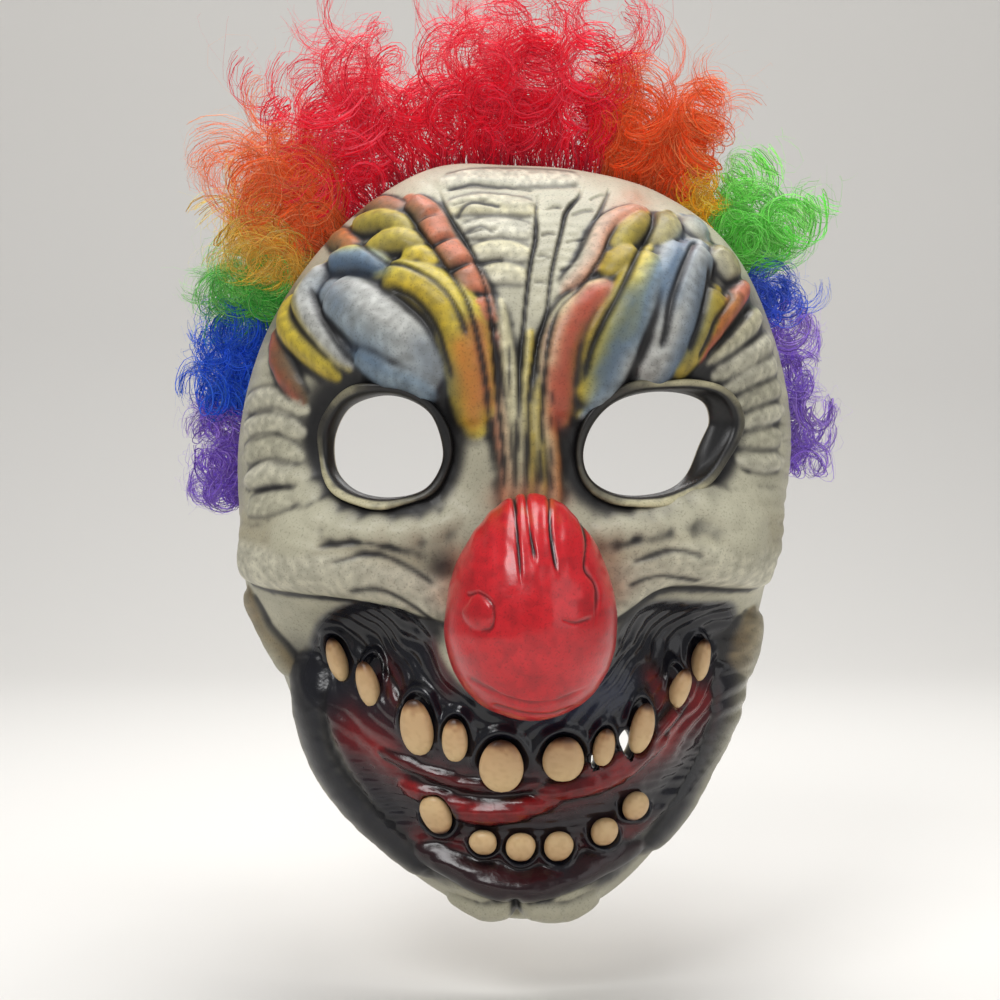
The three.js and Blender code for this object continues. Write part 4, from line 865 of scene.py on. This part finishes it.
def lid_mesh(hole):
    """A roll round a hole: a rounded oblong section swept round the hole's outline, from
    behind the inner skin to its height over the outer one, uneven by two slow waves."""
    line = hole["line"]
    after = np.roll(line, -1, axis=0)
    ahead = after - np.roll(line, 1, axis=0)
    ahead /= np.linalg.norm(ahead, axis=1, keepdims=True)
    area = np.sum(line[:, 0] * after[:, 1] - after[:, 0] * line[:, 1])
    away = np.stack([ahead[:, 1], -ahead[:, 0]], -1) * np.sign(area)
    sides = 22
    turn = 2 * np.pi * np.arange(sides) / sides
    go = hole["roll"] * (0.9 + squared(np.cos(turn), LID_ROUND))
    low, top = -LATEX - LID_BEHIND, hole["high"]
    lift = (low + top) / 2 + (top - low) / 2 * squared(np.sin(turn), LID_ROUND)
    angle = np.arctan2(line[:, 1] - line[:, 1].mean(), line[:, 0] - line[:, 0].mean())
    shelf = hole["shelf"] * bell(angle / 0.75)
    inner_low = smooth(-np.cos(turn), -0.2, 0.6) * smooth(-lift, -0.6, 1.6)
    lumps = (1 + 0.12 * np.sin(3 * angle + 1) + 0.08 * np.sin(7 * angle))[:, None]
    reach_out = go * lumps - shelf[:, None] * inner_low
    px, pz = (line[:, None, k] + away[:, None, k] * reach_out for k in (0, 1))
    lift = np.where(lift > 0, lift * lumps, lift)
    points = on_face((px / HALF_WIDTH).ravel(), (pz / HALF_HEIGHT).ravel(), lift.ravel())
    faces = grid_faces(sides, len(line), close_across=True, close_up=True, flip=area < 0)

    degrees = np.degrees(angle)[:, None] % 360
    cream = [s * bell((degrees - at) / spread)
             for at, spread, s in LID_CREAM.get(hole["name"], [(0, 1, 0)])]
    lit = smooth(go / hole["roll"], 0.3, 0.8) * smooth(lift, 0.8, 2.4)
    paint = coat(px.size, "black" if hole["name"] in LID_CREAM else "gum").reshape(*px.shape, 3)
    weight = lit * np.max(cream, axis=0) * (0.75 + 0.5 * noise(px, pz, 2.2, 11)) * 1.15
    lay(paint, srgb("cream") * 0.92, np.clip(weight, 0, 1))
    outer_back = smooth(-lift, 0.3, 1.2) * smooth(go / hole["roll"], 0.95, 1.3)
    lay(paint, "inside", np.maximum(smooth(-lift, 1.5, 2.8), outer_back))
    return mesh_of(hole["name"], points, [faces], paint.reshape(-1, 3), np.full(len(points), 0.35))


def nose_mesh():
    """The nose: an egg with its narrow end up, x and y narrowed by 1 - lean * height, cut off
    where it meets the face, with creases and dents along its outward direction, and a second
    egg one wall smaller inside."""
    around, rings = 240, 170
    turn = 2 * np.pi * np.arange(around) / around
    polar = np.linspace(0.003, 0.78, rings + 1) * np.pi
    turn, polar = np.meshgrid(turn, polar)
    way = np.stack([np.sin(polar) * np.cos(turn), -np.cos(polar), np.sin(polar) * np.sin(turn)], -1)
    middle = np.array([NOSE["u"] * HALF_WIDTH, NOSE["y"], MIDDLE + NOSE["v"] * HALF_HEIGHT])

    def egg(margin):
        half = np.array(NOSE["half"]) + margin
        narrow = 1 - NOSE["lean"] * way[..., 2]
        return way * half * np.stack([narrow, narrow, np.ones_like(narrow)], -1)

    bare = egg(0.0).reshape(-1, 3)
    x, z = bare[:, 0], bare[:, 2]
    front = smooth(-bare[:, 1], -14, 2)
    cut = np.zeros(len(x))
    for c in NOSE_CREASES:
        near, gap, along, _ = near_path(x, z, through(c["path"], 40), c["wide"] * 3)
        wobble = 0.7 * (noise(x[near], z[near], 5, 21) - 0.5)
        fade = smooth(1.02 - along, 0, 0.25)
        cut[near] = np.maximum(cut[near], c["deep"] * bell((gap + wobble) / c["wide"]) * fade)
    cut *= front
    uneven = WART["radius"] + 2.2 * (noise(x, z, 4.5, 29) - 0.5)
    away = np.hypot(x - WART["x"], z - WART["z"]) / uneven
    wart = WART["high"] * np.clip(1 - away**2, 0, 1) ** 0.7 * front
    dents = 0.5 * (noise(x, z, 9, 22) - 0.5) + 0.25 * (noise(x, z, 3.4, 23) - 0.5)
    ridge = 0.2 * bell((z - 28) / 12) * np.sin(x * 1.25) * front
    lift = dents + wart - cut + ridge
    points = bare + way.reshape(-1, 3) * lift[:, None] + middle
    hollow = egg(-LATEX).reshape(-1, 3) + middle
    grain, cloud = noise(x, z, 1.2, 24), noise(x + 31, z, 10, 25)
    paint = coat(len(x), "ruddy")
    lay(paint, "cherry", 0.6 * smooth(cloud, 0.2, 0.9))
    fine = 0.6 * noise(x, z, 2.2, 26) + 0.4 * noise(x, z, 4.6, 28)
    lay(paint, "maroon", 0.2 * smooth(fine, 0.35, 0.85) + 0.1 * grain)
    # Maroon in the creases: partly dark paint, partly painted shade.
    lay(paint, "maroon", 0.9 * smooth(cut, 0.25, 0.9))
    # Darker where the nose turns back to meet the face: painted shade.
    lay(paint, "maroon", 0.6 * smooth(polar.ravel() / np.pi, 0.5, 0.62))
    top = smooth(z, 24, 36) * front
    lay(paint, srgb("orange") * 0.95, 0.65 * top * smooth(noise(x, z, 3, 27), 0.3, 0.7))
    # Black in the upper creases: partly dark paint, partly painted shade.
    lay(paint, "black", 0.85 * smooth(cut, 0.3, 1.0) * smooth(z, 6, 26))

    def kept(p, faces, past):
        c = p[faces].mean(1)
        u, v = c[:, 0] / HALF_WIDTH, (c[:, 2] - MIDDLE) / HALF_HEIGHT
        return faces[c[:, 1] < on_face(u, v, np.zeros(len(u)))[:, 1] + past]

    outer = kept(points, grid_faces(around, rings, close_across=True), 0.8)
    inner = kept(hollow, grid_faces(around, rings, close_across=True, flip=True), LATEX + 0.6)
    cap = np.arange(around)[None, :]
    return mesh_of(
        "latex_nose", np.vstack([points, hollow]),
        [outer, inner + len(x), cap[:, ::-1], cap + len(x)],
        np.vstack([paint, coat(len(x), "inside")]), np.repeat([1.0, 0.0], len(x)),
    )


def tooth_mesh(t):
    """A peg tooth: rings from root to tip, the half width following a round arch that is fuller
    towards the tip, flattened in front, with faint lengthwise ridges."""
    around, rings = 40, 30
    s = np.linspace(0.0, 1.0, rings + 1)[:, None]
    turn = 2 * np.pi * np.arange(around)[None, :] / around
    arch = np.sqrt(np.clip(1 - (2 * s - 1) ** 2, 0, 1)) * (0.9 + 0.14 * s) + 1e-3
    flat = 1 - 0.14 * np.clip(np.sin(turn), 0, 1) ** 3
    ridges = 1 + 0.02 * np.cos(9 * turn + t["u"] * 20) * (1 - s)
    lumps = 1 + 0.05 * np.sin(5 * s + 13 * t["u"]) * np.cos(turn + 3 * t["v"])
    across = arch * np.cos(turn) * t["wide"] / 2 * lumps * ridges
    out = arch * np.sin(turn) * TOOTH_THICK / 2 * flat * lumps * ridges
    up = (0.5 - s) * t["tall"] * t["root"] + 0 * turn
    lean = math.radians(t["lean"])
    x = across * math.cos(lean) - up * math.sin(lean)
    z = across * math.sin(lean) + up * math.cos(lean)
    u, v = np.array([t["u"]]), np.array([t["v"]])
    way = outward(dome(u, v)[0])[0]
    side = np.cross([0.0, 0.0, 1.0], way)
    side /= np.linalg.norm(side)
    above = np.cross(way, side)
    seat = on_face(u, v, np.array([TOOTH_PROUD + 1.2]))[0]
    local = x[..., None] * side + z[..., None] * above + out[..., None] * way + seat
    points = local.reshape(-1, 3)
    grain = noise(points[:, 0], points[:, 2], 1.6, 31)
    down = (s + 0 * turn).ravel()
    paint = coat(len(points), "bone")
    lay(paint, "ivory", 0.8 * smooth(down, 0.35, 0.95))
    lay(paint, "tartar", 0.6 * (1 - smooth(down + 0.2 * (grain - 0.5), 0.04, 0.3)))
    lay(paint, "gumline", 0.9 * (1 - smooth(down, 0.02, 0.16)))
    lay(paint, "stain", 0.2 * smooth(noise(points[:, 0], points[:, 2], 1.1, 32), 0.4, 0.9))
    round_ = np.arange(around)[None, :]
    faces = [grid_faces(around, rings, close_across=True, flip=True), round_,
             round_[:, ::-1] + rings * around]
    if t["root"] < 0:
        faces = [f[:, ::-1] for f in faces]
    return mesh_of(t["name"] + "_peg", points, faces, paint, np.full(len(points), 0.4))


def rim_point(turn, back, out):
    """Points on what is glued round the rim: back is how far behind the rim's edge, and out
    how far out from the wig band's outer side."""
    turn, back, out = np.broadcast_arrays(np.asarray(turn, float), back, out)

    def spot(t):
        reach, angle = along_rim(t, REACH), np.radians(t)
        z = MIDDLE + reach * np.sin(angle) * HALF_HEIGHT
        return np.stack([reach * np.cos(angle) * HALF_WIDTH, z], -1)

    along = spot(turn + SLOPE_STEP) - spot(turn - SLOPE_STEP)
    along /= np.linalg.norm(along, axis=-1, keepdims=True)
    here, away = spot(turn), out - LATEX - SEAT_GAP
    y = along_rim(turn, DEPTH) * HEAD_DEPTH + back
    return np.stack([here[..., 0] + along[..., 1] * away, y, here[..., 1] - along[..., 0] * away], -1)


def swept(section_at, stations, sides):
    """Points of a closed section carried through stations, with the cloth's flat coordinates:
    mm along by mm round the section."""
    rings = np.stack([section_at(k) for k in range(stations)])
    run = np.linalg.norm(np.diff(rings.mean(1), axis=0), axis=1)
    along = np.concatenate([[0], np.cumsum(run)])
    round_ = np.linalg.norm(np.diff(rings[0], axis=0, append=rings[0][:1]), axis=1)
    across = np.concatenate([[0], np.cumsum(round_)[:-1]])
    uv = np.stack(np.broadcast_arrays(along[:, None], across[None, :]), -1).reshape(-1, 2)
    faces = grid_faces(sides, stations - 1, close_across=True)
    ends = [np.arange(sides)[None, ::-1], np.arange(sides)[None, :] + (stations - 1) * sides]
    return rings.reshape(-1, 3), [faces, *ends], uv


def oblong(half_wide, half_thick, sides, power=0.35):
    """A rounded oblong section, as offsets across and through."""
    turn = 2 * np.pi * (np.arange(sides) + 0.5) / sides
    return half_wide * squared(np.cos(turn), power), half_thick * squared(np.sin(turn), power)


def band_mesh():
    """The wig band: a knitted strip along the rim, drawn in a little where it passes the rim's
    edge."""
    stations, sides = 220, 48
    turns = np.linspace(*BAND_TURNS, stations)
    across, through_ = oblong(0.5, 0.5, sides)

    def section(k):
        t = turns[k]
        back = -BAND_INSIDE + (BAND_INSIDE + BAND_BEHIND) * (0.5 - across)
        inside = BAND_TUCK + (BAND_INSIDE * SEAT_SLOPE - BAND_TUCK) * -back / BAND_INSIDE
        lean = np.where(back < 0, inside, BAND_TUCK * (1 - np.minimum(back / BAND_BEHIND, 1)))
        return rim_point(np.full(sides, t), back, -lean + BAND_THICK * (through_ - 0.5))

    points, faces, uv = swept(section, stations, sides)
    return mesh_of("wig_band_cloth", points, faces, uv=uv)


def strap_path(count):
    """The elastic's outer line seen from above: flat against the wall's inside at both ends and
    one half oval round the back of the head."""
    low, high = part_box("elastic_strap")
    left, right = low[0] / MM, high[0] / MM
    rim = float(along_rim(180.0, DEPTH)) * HEAD_DEPTH
    lean = STRAP_INSIDE * SEAT_SLOPE
    angle = np.linspace(math.pi, 0, count)
    middle, half = (left + right) / 2, (right - left) / 2
    sweep = np.stack([middle + half * np.cos(angle), rim + (STRAP_BACK - rim) * np.sin(angle)], -1)
    ends = np.linspace(1, 0.1, 8)[:, None]
    start = np.array([left, rim]) + ends * (lean, -STRAP_INSIDE)
    stop = np.array([right, rim]) + ends[::-1] * (-lean, -STRAP_INSIDE)
    return np.vstack([start, sweep, stop])


def strap_mesh():
    """The elastic: a flat rounded oblong section carried along its line, ribbed by the weave."""
    line = strap_path(120)
    ahead = np.gradient(line, axis=0)
    ahead /= np.linalg.norm(ahead, axis=1, keepdims=True)
    across, through_ = oblong(STRAP_WIDTH / 2, STRAP_THICK / 2, 40)

    def section(k):
        into = np.array([ahead[k, 1], -ahead[k, 0]])
        spot = line[k] + into * (STRAP_THICK / 2)
        flat = spot + into * through_[:, None]
        return np.stack([flat[:, 0], flat[:, 1], STRAP_HEIGHT + across], -1)

    points, faces, uv = swept(section, len(line), 40)
    return mesh_of("elastic_band", points, faces, uv=uv)


def tubes(lines, radii, flat_along):
    """Thin fibres round many centre lines at once, each section a triangle drawn out along one
    direction like a drawn plastic fibre: lines (n, points, 3), radii (n, points)."""
    ahead = np.gradient(lines, axis=1)
    ahead /= np.maximum(np.linalg.norm(ahead, axis=2, keepdims=True), 1e-9)
    wide = flat_along[:, None] - np.sum(flat_along[:, None] * ahead, axis=2, keepdims=True) * ahead
    wide += 0.05 * np.cross(ahead, np.array([0.31, 0.87, 0.38]))
    wide /= np.maximum(np.linalg.norm(wide, axis=2, keepdims=True), 1e-9)
    thin = np.cross(ahead, wide) * FIBRE_FLAT
    turn = 2 * np.pi * np.arange(3) / 3
    ring = wide[:, :, None] * np.cos(turn)[:, None] + thin[:, :, None] * np.sin(turn)[:, None]
    points = lines[:, :, None] + ring * radii[:, :, None, None]
    count, stations = radii.shape
    one = grid_faces(3, stations - 1, close_across=True)
    faces = (one[None] + (np.arange(count) * stations * 3)[:, None, None]).reshape(-1, 4)
    return points.reshape(-1, 3), faces


def weft_mesh(row, seed):
    """One colour of hair: the sewn strip along the rim, and locks that grow from it. A lock's
    line leaves outwards and bends aside, with a coil round it that widens from the root. Its
    fibres follow the coil side by side, like a ribbon wound round it, each waved a little."""
    rng = np.random.default_rng(seed)
    turns = np.linspace(row["start"] + 0.12, row["stop"] - 0.12, 40)
    across, through_ = oblong((BAND_BEHIND - WEFT_GAP) / 2, WEFT_THICK / 2, 24)

    def section(k):
        back = (BAND_BEHIND + WEFT_GAP) / 2 - across
        return rim_point(np.full(24, turns[k]), back, WEFT_GAP + WEFT_THICK / 2 + through_)

    strip, strip_faces, _ = swept(section, 40, 24)
    tone, tip = srgb(row["tone"]), srgb(row["tip"])
    points, faces = [strip], list(strip_faces)
    # The sewn strip in a darker copy of the hair's tone: painted shade under the locks.
    paints = [np.tile(tone * 0.6, (len(strip), 1))]
    count = row["locks"]
    s = np.linspace(0, 1, LOCK_POINTS)[None, :]
    depth = (np.arange(count) * 0.382 + 0.15) % 1.0
    spot = (np.arange(count) + 0.5 + rng.uniform(-0.35, 0.35, count)) / count
    turn = row["start"] + 0.5 + (row["stop"] - row["start"] - 1) * np.clip(spot, 0, 1)
    back = 1.5 + depth * (BAND_BEHIND - 5)
    root = rim_point(turn, back, 1.2)
    away = rim_point(turn, back, 20.0) - root
    away /= np.linalg.norm(away, axis=1, keepdims=True)
    aside = np.stack([away[:, 2], np.zeros(count), -away[:, 0]], -1)
    rear = np.array([0.0, 1.0, 0.0])
    swing = rng.uniform(-0.6, 0.9, count)[:, None]
    over = np.cos(swing) * away + np.sin(swing) * rear
    axle = np.cross(aside, over)
    long = row["long"] * rng.uniform(0.55, 1.12, count) - 0.5 * row["coil"]
    bend = np.radians(row["bend"]) * rng.uniform(-1, 1, count)
    tilt = -0.3 + 0.7 * depth + rng.uniform(-0.25, 0.25, count)
    angle = bend[:, None] * s**1.5
    step = (long / LOCK_POINTS)[:, None, None] * (
        np.cos(angle)[..., None] * away[:, None] + np.sin(angle)[..., None] * aside[:, None]
        + (tilt[:, None] * s)[..., None] * rear
    )
    spine = root[:, None] + np.cumsum(step, axis=1) - step[:, :1]
    coil = row["coil"] * rng.uniform(0.6, 1.25, count)[:, None] * smooth(s, 0.0, 0.55)
    phase = rng.uniform(0, 2 * np.pi, count)[:, None]
    hand = np.sign(rng.uniform(-1, 1, count))[:, None]
    wind = phase + hand * 2 * np.pi * row["rings"] * rng.uniform(0.75, 1.3, count)[:, None] * s**0.9

    for kind in FIBRES:
        n = count * kind["per_lock"]
        lock = np.repeat(np.arange(count), kind["per_lock"])
        each = lambda low, high: rng.uniform(low, high, n)[:, None]
        drawn = 0.6 + 0.4 * np.sin(np.pi * s**0.8)
        up = kind["spread"] * each(-0.5, 0.5) * drawn
        size = coil[lock] * (1 + 0.22 * each(-1, 1)) + 1.2 * each(-1, 1) * drawn
        round_ = wind[lock] + kind["loose"] * each(-1, 1)
        beside, beyond = 3.6 * each(-1, 1), 2.0 * each(-0.5, 1)
        waves = []
        for _ in range(3):
            beat = each(2.5, 6) * s + each(0, 1)
            waves.append(kind["wave"] * np.sin(2 * np.pi * beat) * s)
        one = size * np.cos(round_) + waves[0] + beside * (1 - 0.5 * s)
        two = size * np.sin(round_) + waves[1] + beyond
        run = each(kind["least"], kind["most"])[..., None]
        line = root[lock][:, None] + (spine[lock] - root[lock][:, None]) * run
        line = line + one[..., None] * aside[lock][:, None] + two[..., None] * over[lock][:, None]
        line = line + (up + waves[2])[..., None] * axle[lock][:, None]
        beyond_side = line[..., 0] - np.clip(line[..., 0], -HAIR_SIDE, HAIR_SIDE)
        line[..., 0] -= HAIR_PRESS * beyond_side
        line[..., 2] -= HAIR_PRESS * np.maximum(line[..., 2] - HAIR_TOP, 0)
        radius = kind["thick"] * each(0.75, 1.25) * (1 - 0.7 * s**2)
        p, f = tubes(line, radius, axle[lock])
        shade = each(0.84, 1.12)[..., None]
        mix = kind["tint"] + 0.5 * each(-1, 1)[..., None] + 0.3 * (s[..., None] - 0.4)
        mix = np.clip(mix, 0, 1)
        colour = (tone * (1 - mix) + tip * mix) * shade
        # Darker towards the root: painted shade inside the mass of hair.
        colour = colour * (0.82 + 0.18 * smooth(s[..., None], 0, 0.25))
        faces.append(f + sum(len(q) for q in points))
        points.append(p)
        paints.append(np.repeat(colour.reshape(-1, 3), 3, axis=0))
    paints = np.clip(np.vstack(paints), 0, 1)
    return mesh_of(row["name"] + "_locks", np.vstack(points), faces, paints)


SPECK, BRUSH = 0.8, 1.5  # size of the overspray's specks and of the teeth's brush marks in mm
HAIR_GLOW = 0.22  # painted glow: the fibres give off their own colour as light, standing in for light passed on between fine hairs
HAIR_CLEAR = 0.62  # share of the light that goes through a fibre


def material(name):
    """A new node material: its tree and its Principled shader."""
    made = bpy.data.materials.new(name)
    made.use_nodes = True
    return made, made.node_tree, made.node_tree.nodes["Principled BSDF"]


def add(tree, kind, sockets=None, **settings):
    """A node of that kind, with settings, and sockets set to values or joined to other sockets."""
    made = tree.nodes.new(kind)
    for key, value in settings.items():
        setattr(made, key, value)
    for key, value in (sockets or {}).items():
        if isinstance(value, bpy.types.NodeSocket):
            tree.links.new(value, made.inputs[key])
        else:
            made.inputs[key].default_value = value
    return made


def bumped(tree, shader, height, strength, distance_mm):
    """The shader's surface raised by a height of 0 to 1 over that distance."""
    bump = add(tree, "ShaderNodeBump",
               {"Strength": strength, "Distance": distance_mm * MM, "Height": height})
    tree.links.new(bump.outputs["Normal"], shader.inputs["Normal"])


def latex_paint(name, dry, wet, pore_mm, varnish):
    """Cast latex, painted: pores of the casting, paint from the points, roughness from dry to
    wet, and specks of overspray."""
    made, tree, shader = material(name)
    place_ = add(tree, "ShaderNodeTexCoord").outputs["Object"]
    paint = add(tree, "ShaderNodeAttribute", attribute_name="paint").outputs["Color"]
    gloss = add(tree, "ShaderNodeAttribute", attribute_name="wet").outputs["Fac"]
    fine = add(tree, "ShaderNodeTexNoise",
               {"Vector": place_, "Scale": 1 / (pore_mm * MM), "Detail": 4.0})
    speck = add(tree, "ShaderNodeTexNoise",
                {"Vector": place_, "Scale": 1 / (SPECK * MM), "Detail": 2.0})
    dark = add(tree, "ShaderNodeMapRange",
               {"Value": speck.outputs["Fac"], "From Min": 0.55, "From Max": 0.7,
                "To Min": 1.0, "To Max": 0.72})
    mixed = add(tree, "ShaderNodeVectorMath", {0: paint}, operation="SCALE")
    tree.links.new(dark.outputs["Result"], mixed.inputs["Scale"])
    tree.links.new(mixed.outputs["Vector"], shader.inputs["Base Color"])
    rough = add(tree, "ShaderNodeMapRange", {"Value": gloss, "To Min": dry, "To Max": wet})
    tree.links.new(rough.outputs["Result"], shader.inputs["Roughness"])
    shader.inputs["Coat Weight"].default_value = varnish
    shader.inputs["Coat Roughness"].default_value = 0.18
    shader.inputs["Specular IOR Level"].default_value = 0.45
    bumped(tree, shader, fine.outputs["Fac"], 0.22, 0.35)
    return made


def tooth_paint():
    """Latex teeth brushed tan and sealed: slightly glossy, with brush streaks."""
    made, tree, shader = material("tooth_paint")
    place_ = add(tree, "ShaderNodeTexCoord").outputs["Object"]
    paint = add(tree, "ShaderNodeAttribute", attribute_name="paint").outputs["Color"]
    tree.links.new(paint, shader.inputs["Base Color"])
    grain = add(tree, "ShaderNodeTexNoise",
                {"Vector": place_, "Scale": 1 / (BRUSH * MM), "Detail": 4.0})
    shader.inputs["Roughness"].default_value = 0.38
    shader.inputs["Subsurface Weight"].default_value = 0.08
    shader.inputs["Subsurface Radius"].default_value = (0.002, 0.001, 0.0006)
    bumped(tree, shader, grain.outputs["Fac"], 0.3, 0.3)
    return made


def woven(name, colour, light, along_mm, across_mm, roughness):
    """Cloth from its own flat coordinates: two sets of threads crossing, the higher one painted
    lighter as a painted highlight.
    """
    made, tree, shader = material(name)
    flat = add(tree, "ShaderNodeUVMap", uv_map="cloth").outputs["UV"]
    parts = add(tree, "ShaderNodeSeparateXYZ", {"Vector": flat})
    threads = []
    for axis, size in (("X", along_mm), ("Y", across_mm)):
        pitch = 2 * math.pi / (size * MM)
        angle = add(tree, "ShaderNodeMath", {0: parts.outputs[axis], 1: pitch}, operation="MULTIPLY")
        threads.append(add(tree, "ShaderNodeMath", {0: angle.outputs[0]}, operation="SINE").outputs[0])
    both = add(tree, "ShaderNodeMath", {0: threads[0], 1: threads[1]}, operation="MULTIPLY")
    height = add(tree, "ShaderNodeMapRange",
                 {"Value": both.outputs[0], "From Min": -1.0, "From Max": 1.0})
    # The raised threads take the lighter colour: a painted highlight.
    shade = add(tree, "ShaderNodeMix", {"Factor": height.outputs["Result"]}, data_type="RGBA")
    shade.inputs[6].default_value = (*to_linear(colour), 1)
    shade.inputs[7].default_value = (*to_linear(light), 1)
    tree.links.new(shade.outputs[2], shader.inputs["Base Color"])
    shader.inputs["Roughness"].default_value = roughness
    bumped(tree, shader, height.outputs["Result"], 0.6, 0.3)
    return made


def hair_fibre(name):
    """Crimped synthetic hair: drawn plastic fibre, glossy and a little see-through, with a painted
    glow in its own colour.
    """
    made, tree, shader = material(name)
    paint = add(tree, "ShaderNodeAttribute", attribute_name="paint").outputs["Color"]
    tree.links.new(paint, shader.inputs["Base Color"])
    shader.inputs["Roughness"].default_value = 0.36
    # A painted glow: the fibre gives off its own colour as light.
    tree.links.new(paint, shader.inputs["Emission Color"])
    shader.inputs["Emission Strength"].default_value = HAIR_GLOW
    through_light = add(tree, "ShaderNodeBsdfTranslucent", {"Color": paint})
    blend = add(tree, "ShaderNodeMixShader",
                {"Fac": HAIR_CLEAR, 1: shader.outputs["BSDF"], 2: through_light.outputs["BSDF"]})
    tree.links.new(blend.outputs["Shader"], tree.nodes["Material Output"].inputs["Surface"])
    return made


def plain(name, colour, roughness):
    """Matt studio paper."""
    made, _, shader = material(name)
    shader.inputs["Base Color"].default_value = (*to_linear(colour), 1)
    shader.inputs["Roughness"].default_value = roughness
    return made


latex = latex_paint("latex_painted", 0.58, 0.2, 1.1, 0.12)  # cast latex, airbrushed
gloss = latex_paint("latex_gloss_red", 0.6, 0.3, 1.6, 0.35)  # cast latex, gloss paint
tooth = tooth_paint()
for piece in face_meshes():
    place(piece, latex, ["face_shell"])
place(nose_mesh(), gloss)
for hole in HOLES:
    place(lid_mesh(hole), latex)
for row in TEETH:
    place(tooth_mesh(row), tooth, [row["name"]])
knit = woven("band_knit", "#8a4a26", "#d08a58", 2.2, 2.2, 0.95)  # cotton, machine knitted
place(band_mesh(), knit, ["wig_band"])
elastic = woven("elastic_weave", "#0d0d0f", "#2c2c30", 1.1, 2.4, 0.8)  # rubber and polyester, woven
place(strap_mesh(), elastic, ["elastic_strap"])
hair_materials = {}
for seed, row in enumerate(HAIR):
    colour = "hair_" + row["name"].split("_")[1]
    if colour not in hair_materials:
        hair_materials[colour] = hair_fibre(colour.replace("hair_", "hair_fibre_"))
    place(weft_mesh(row, 100 + seed), hair_materials[colour], [row["name"]])

# Studio: one pale sweep from floor to backdrop, a large soft key, a fill and a top light
FLOOR = -0.2
SWEEP_FRONT, SWEEP_BACK, SWEEP_ROUND, SWEEP_HIGH, SWEEP_HALF = -6.0, 1.3, 0.5, 4.0, 6.0


def sweep_mesh():
    """Floor and backdrop as one sheet: level, a quarter circle, then upright."""
    arc = np.linspace(0, np.pi / 2, 24)
    bend = SWEEP_BACK - SWEEP_ROUND + SWEEP_ROUND * np.sin(arc)
    y = np.concatenate([[SWEEP_FRONT], bend, [SWEEP_BACK]])[:, None]
    z = np.concatenate([[FLOOR], FLOOR + SWEEP_ROUND * (1 - np.cos(arc)), [SWEEP_HIGH]])[:, None]
    points = np.stack(np.broadcast_arrays(np.array([-SWEEP_HALF, SWEEP_HALF]), y, z), -1)
    return mesh_of("studio_sweep", points.reshape(-1, 3) / MM, [grid_faces(1, len(y) - 1)])


backdrop = sweep_mesh()
backdrop.data.materials.append(plain("studio_paper", "#dddbd7", 0.9))

LIT = Vector((0, 0, -0.03))
LIGHTS = table("name at size watts",
    ("key", (-.6, -1, 1.2), .7, 13),
    ("fill", (1.1, -1, .4), 1.2, 4),
    ("top", (.1, 0, 1.3), .8, 11),
    ("back", (.05, .5, .6), .5, 4.5),
)
for row in LIGHTS:
    lamp = bpy.data.lights.new(row["name"], "AREA")
    lamp.energy, lamp.size = row["watts"], row["size"]
    lamp_object = bpy.data.objects.new(row["name"], lamp)
    lamp_object.location = row["at"]
    aim = LIT - Vector(row["at"])
    lamp_object.rotation_euler = aim.to_track_quat("-Z", "Y").to_euler()
    bpy.context.scene.collection.objects.link(lamp_object)

world = bpy.data.worlds.new("studio_air")
world.use_nodes = True
air = world.node_tree.nodes["Background"].inputs
air["Color"].default_value = (*to_linear("#f2f2f4"), 1)
air["Strength"].default_value = 0.3
bpy.context.scene.world = world

# The camera stands where the photograph's did: 0.75 m off, 1 degree round, 4 degrees up
TARGET = Vector((-0.0052, 0.0, -0.0183))
AZIMUTH, ELEVATION, DISTANCE = math.radians(-1), math.radians(4), 0.75
camera_data = bpy.data.cameras.new("photo_view")
camera_data.lens = 78.5
camera_data.sensor_width = 36
camera = bpy.data.objects.new("photo_view", camera_data)
camera.location = TARGET + DISTANCE * Vector((
    math.sin(AZIMUTH) * math.cos(ELEVATION), -math.cos(AZIMUTH) * math.cos(ELEVATION),
    math.sin(ELEVATION),
))
camera.rotation_euler = (TARGET - camera.location).to_track_quat("-Z", "Y").to_euler()
bpy.context.scene.collection.objects.link(camera)
bpy.context.scene.camera = camera
bpy.context.scene.view_settings.view_transform = "Standard"
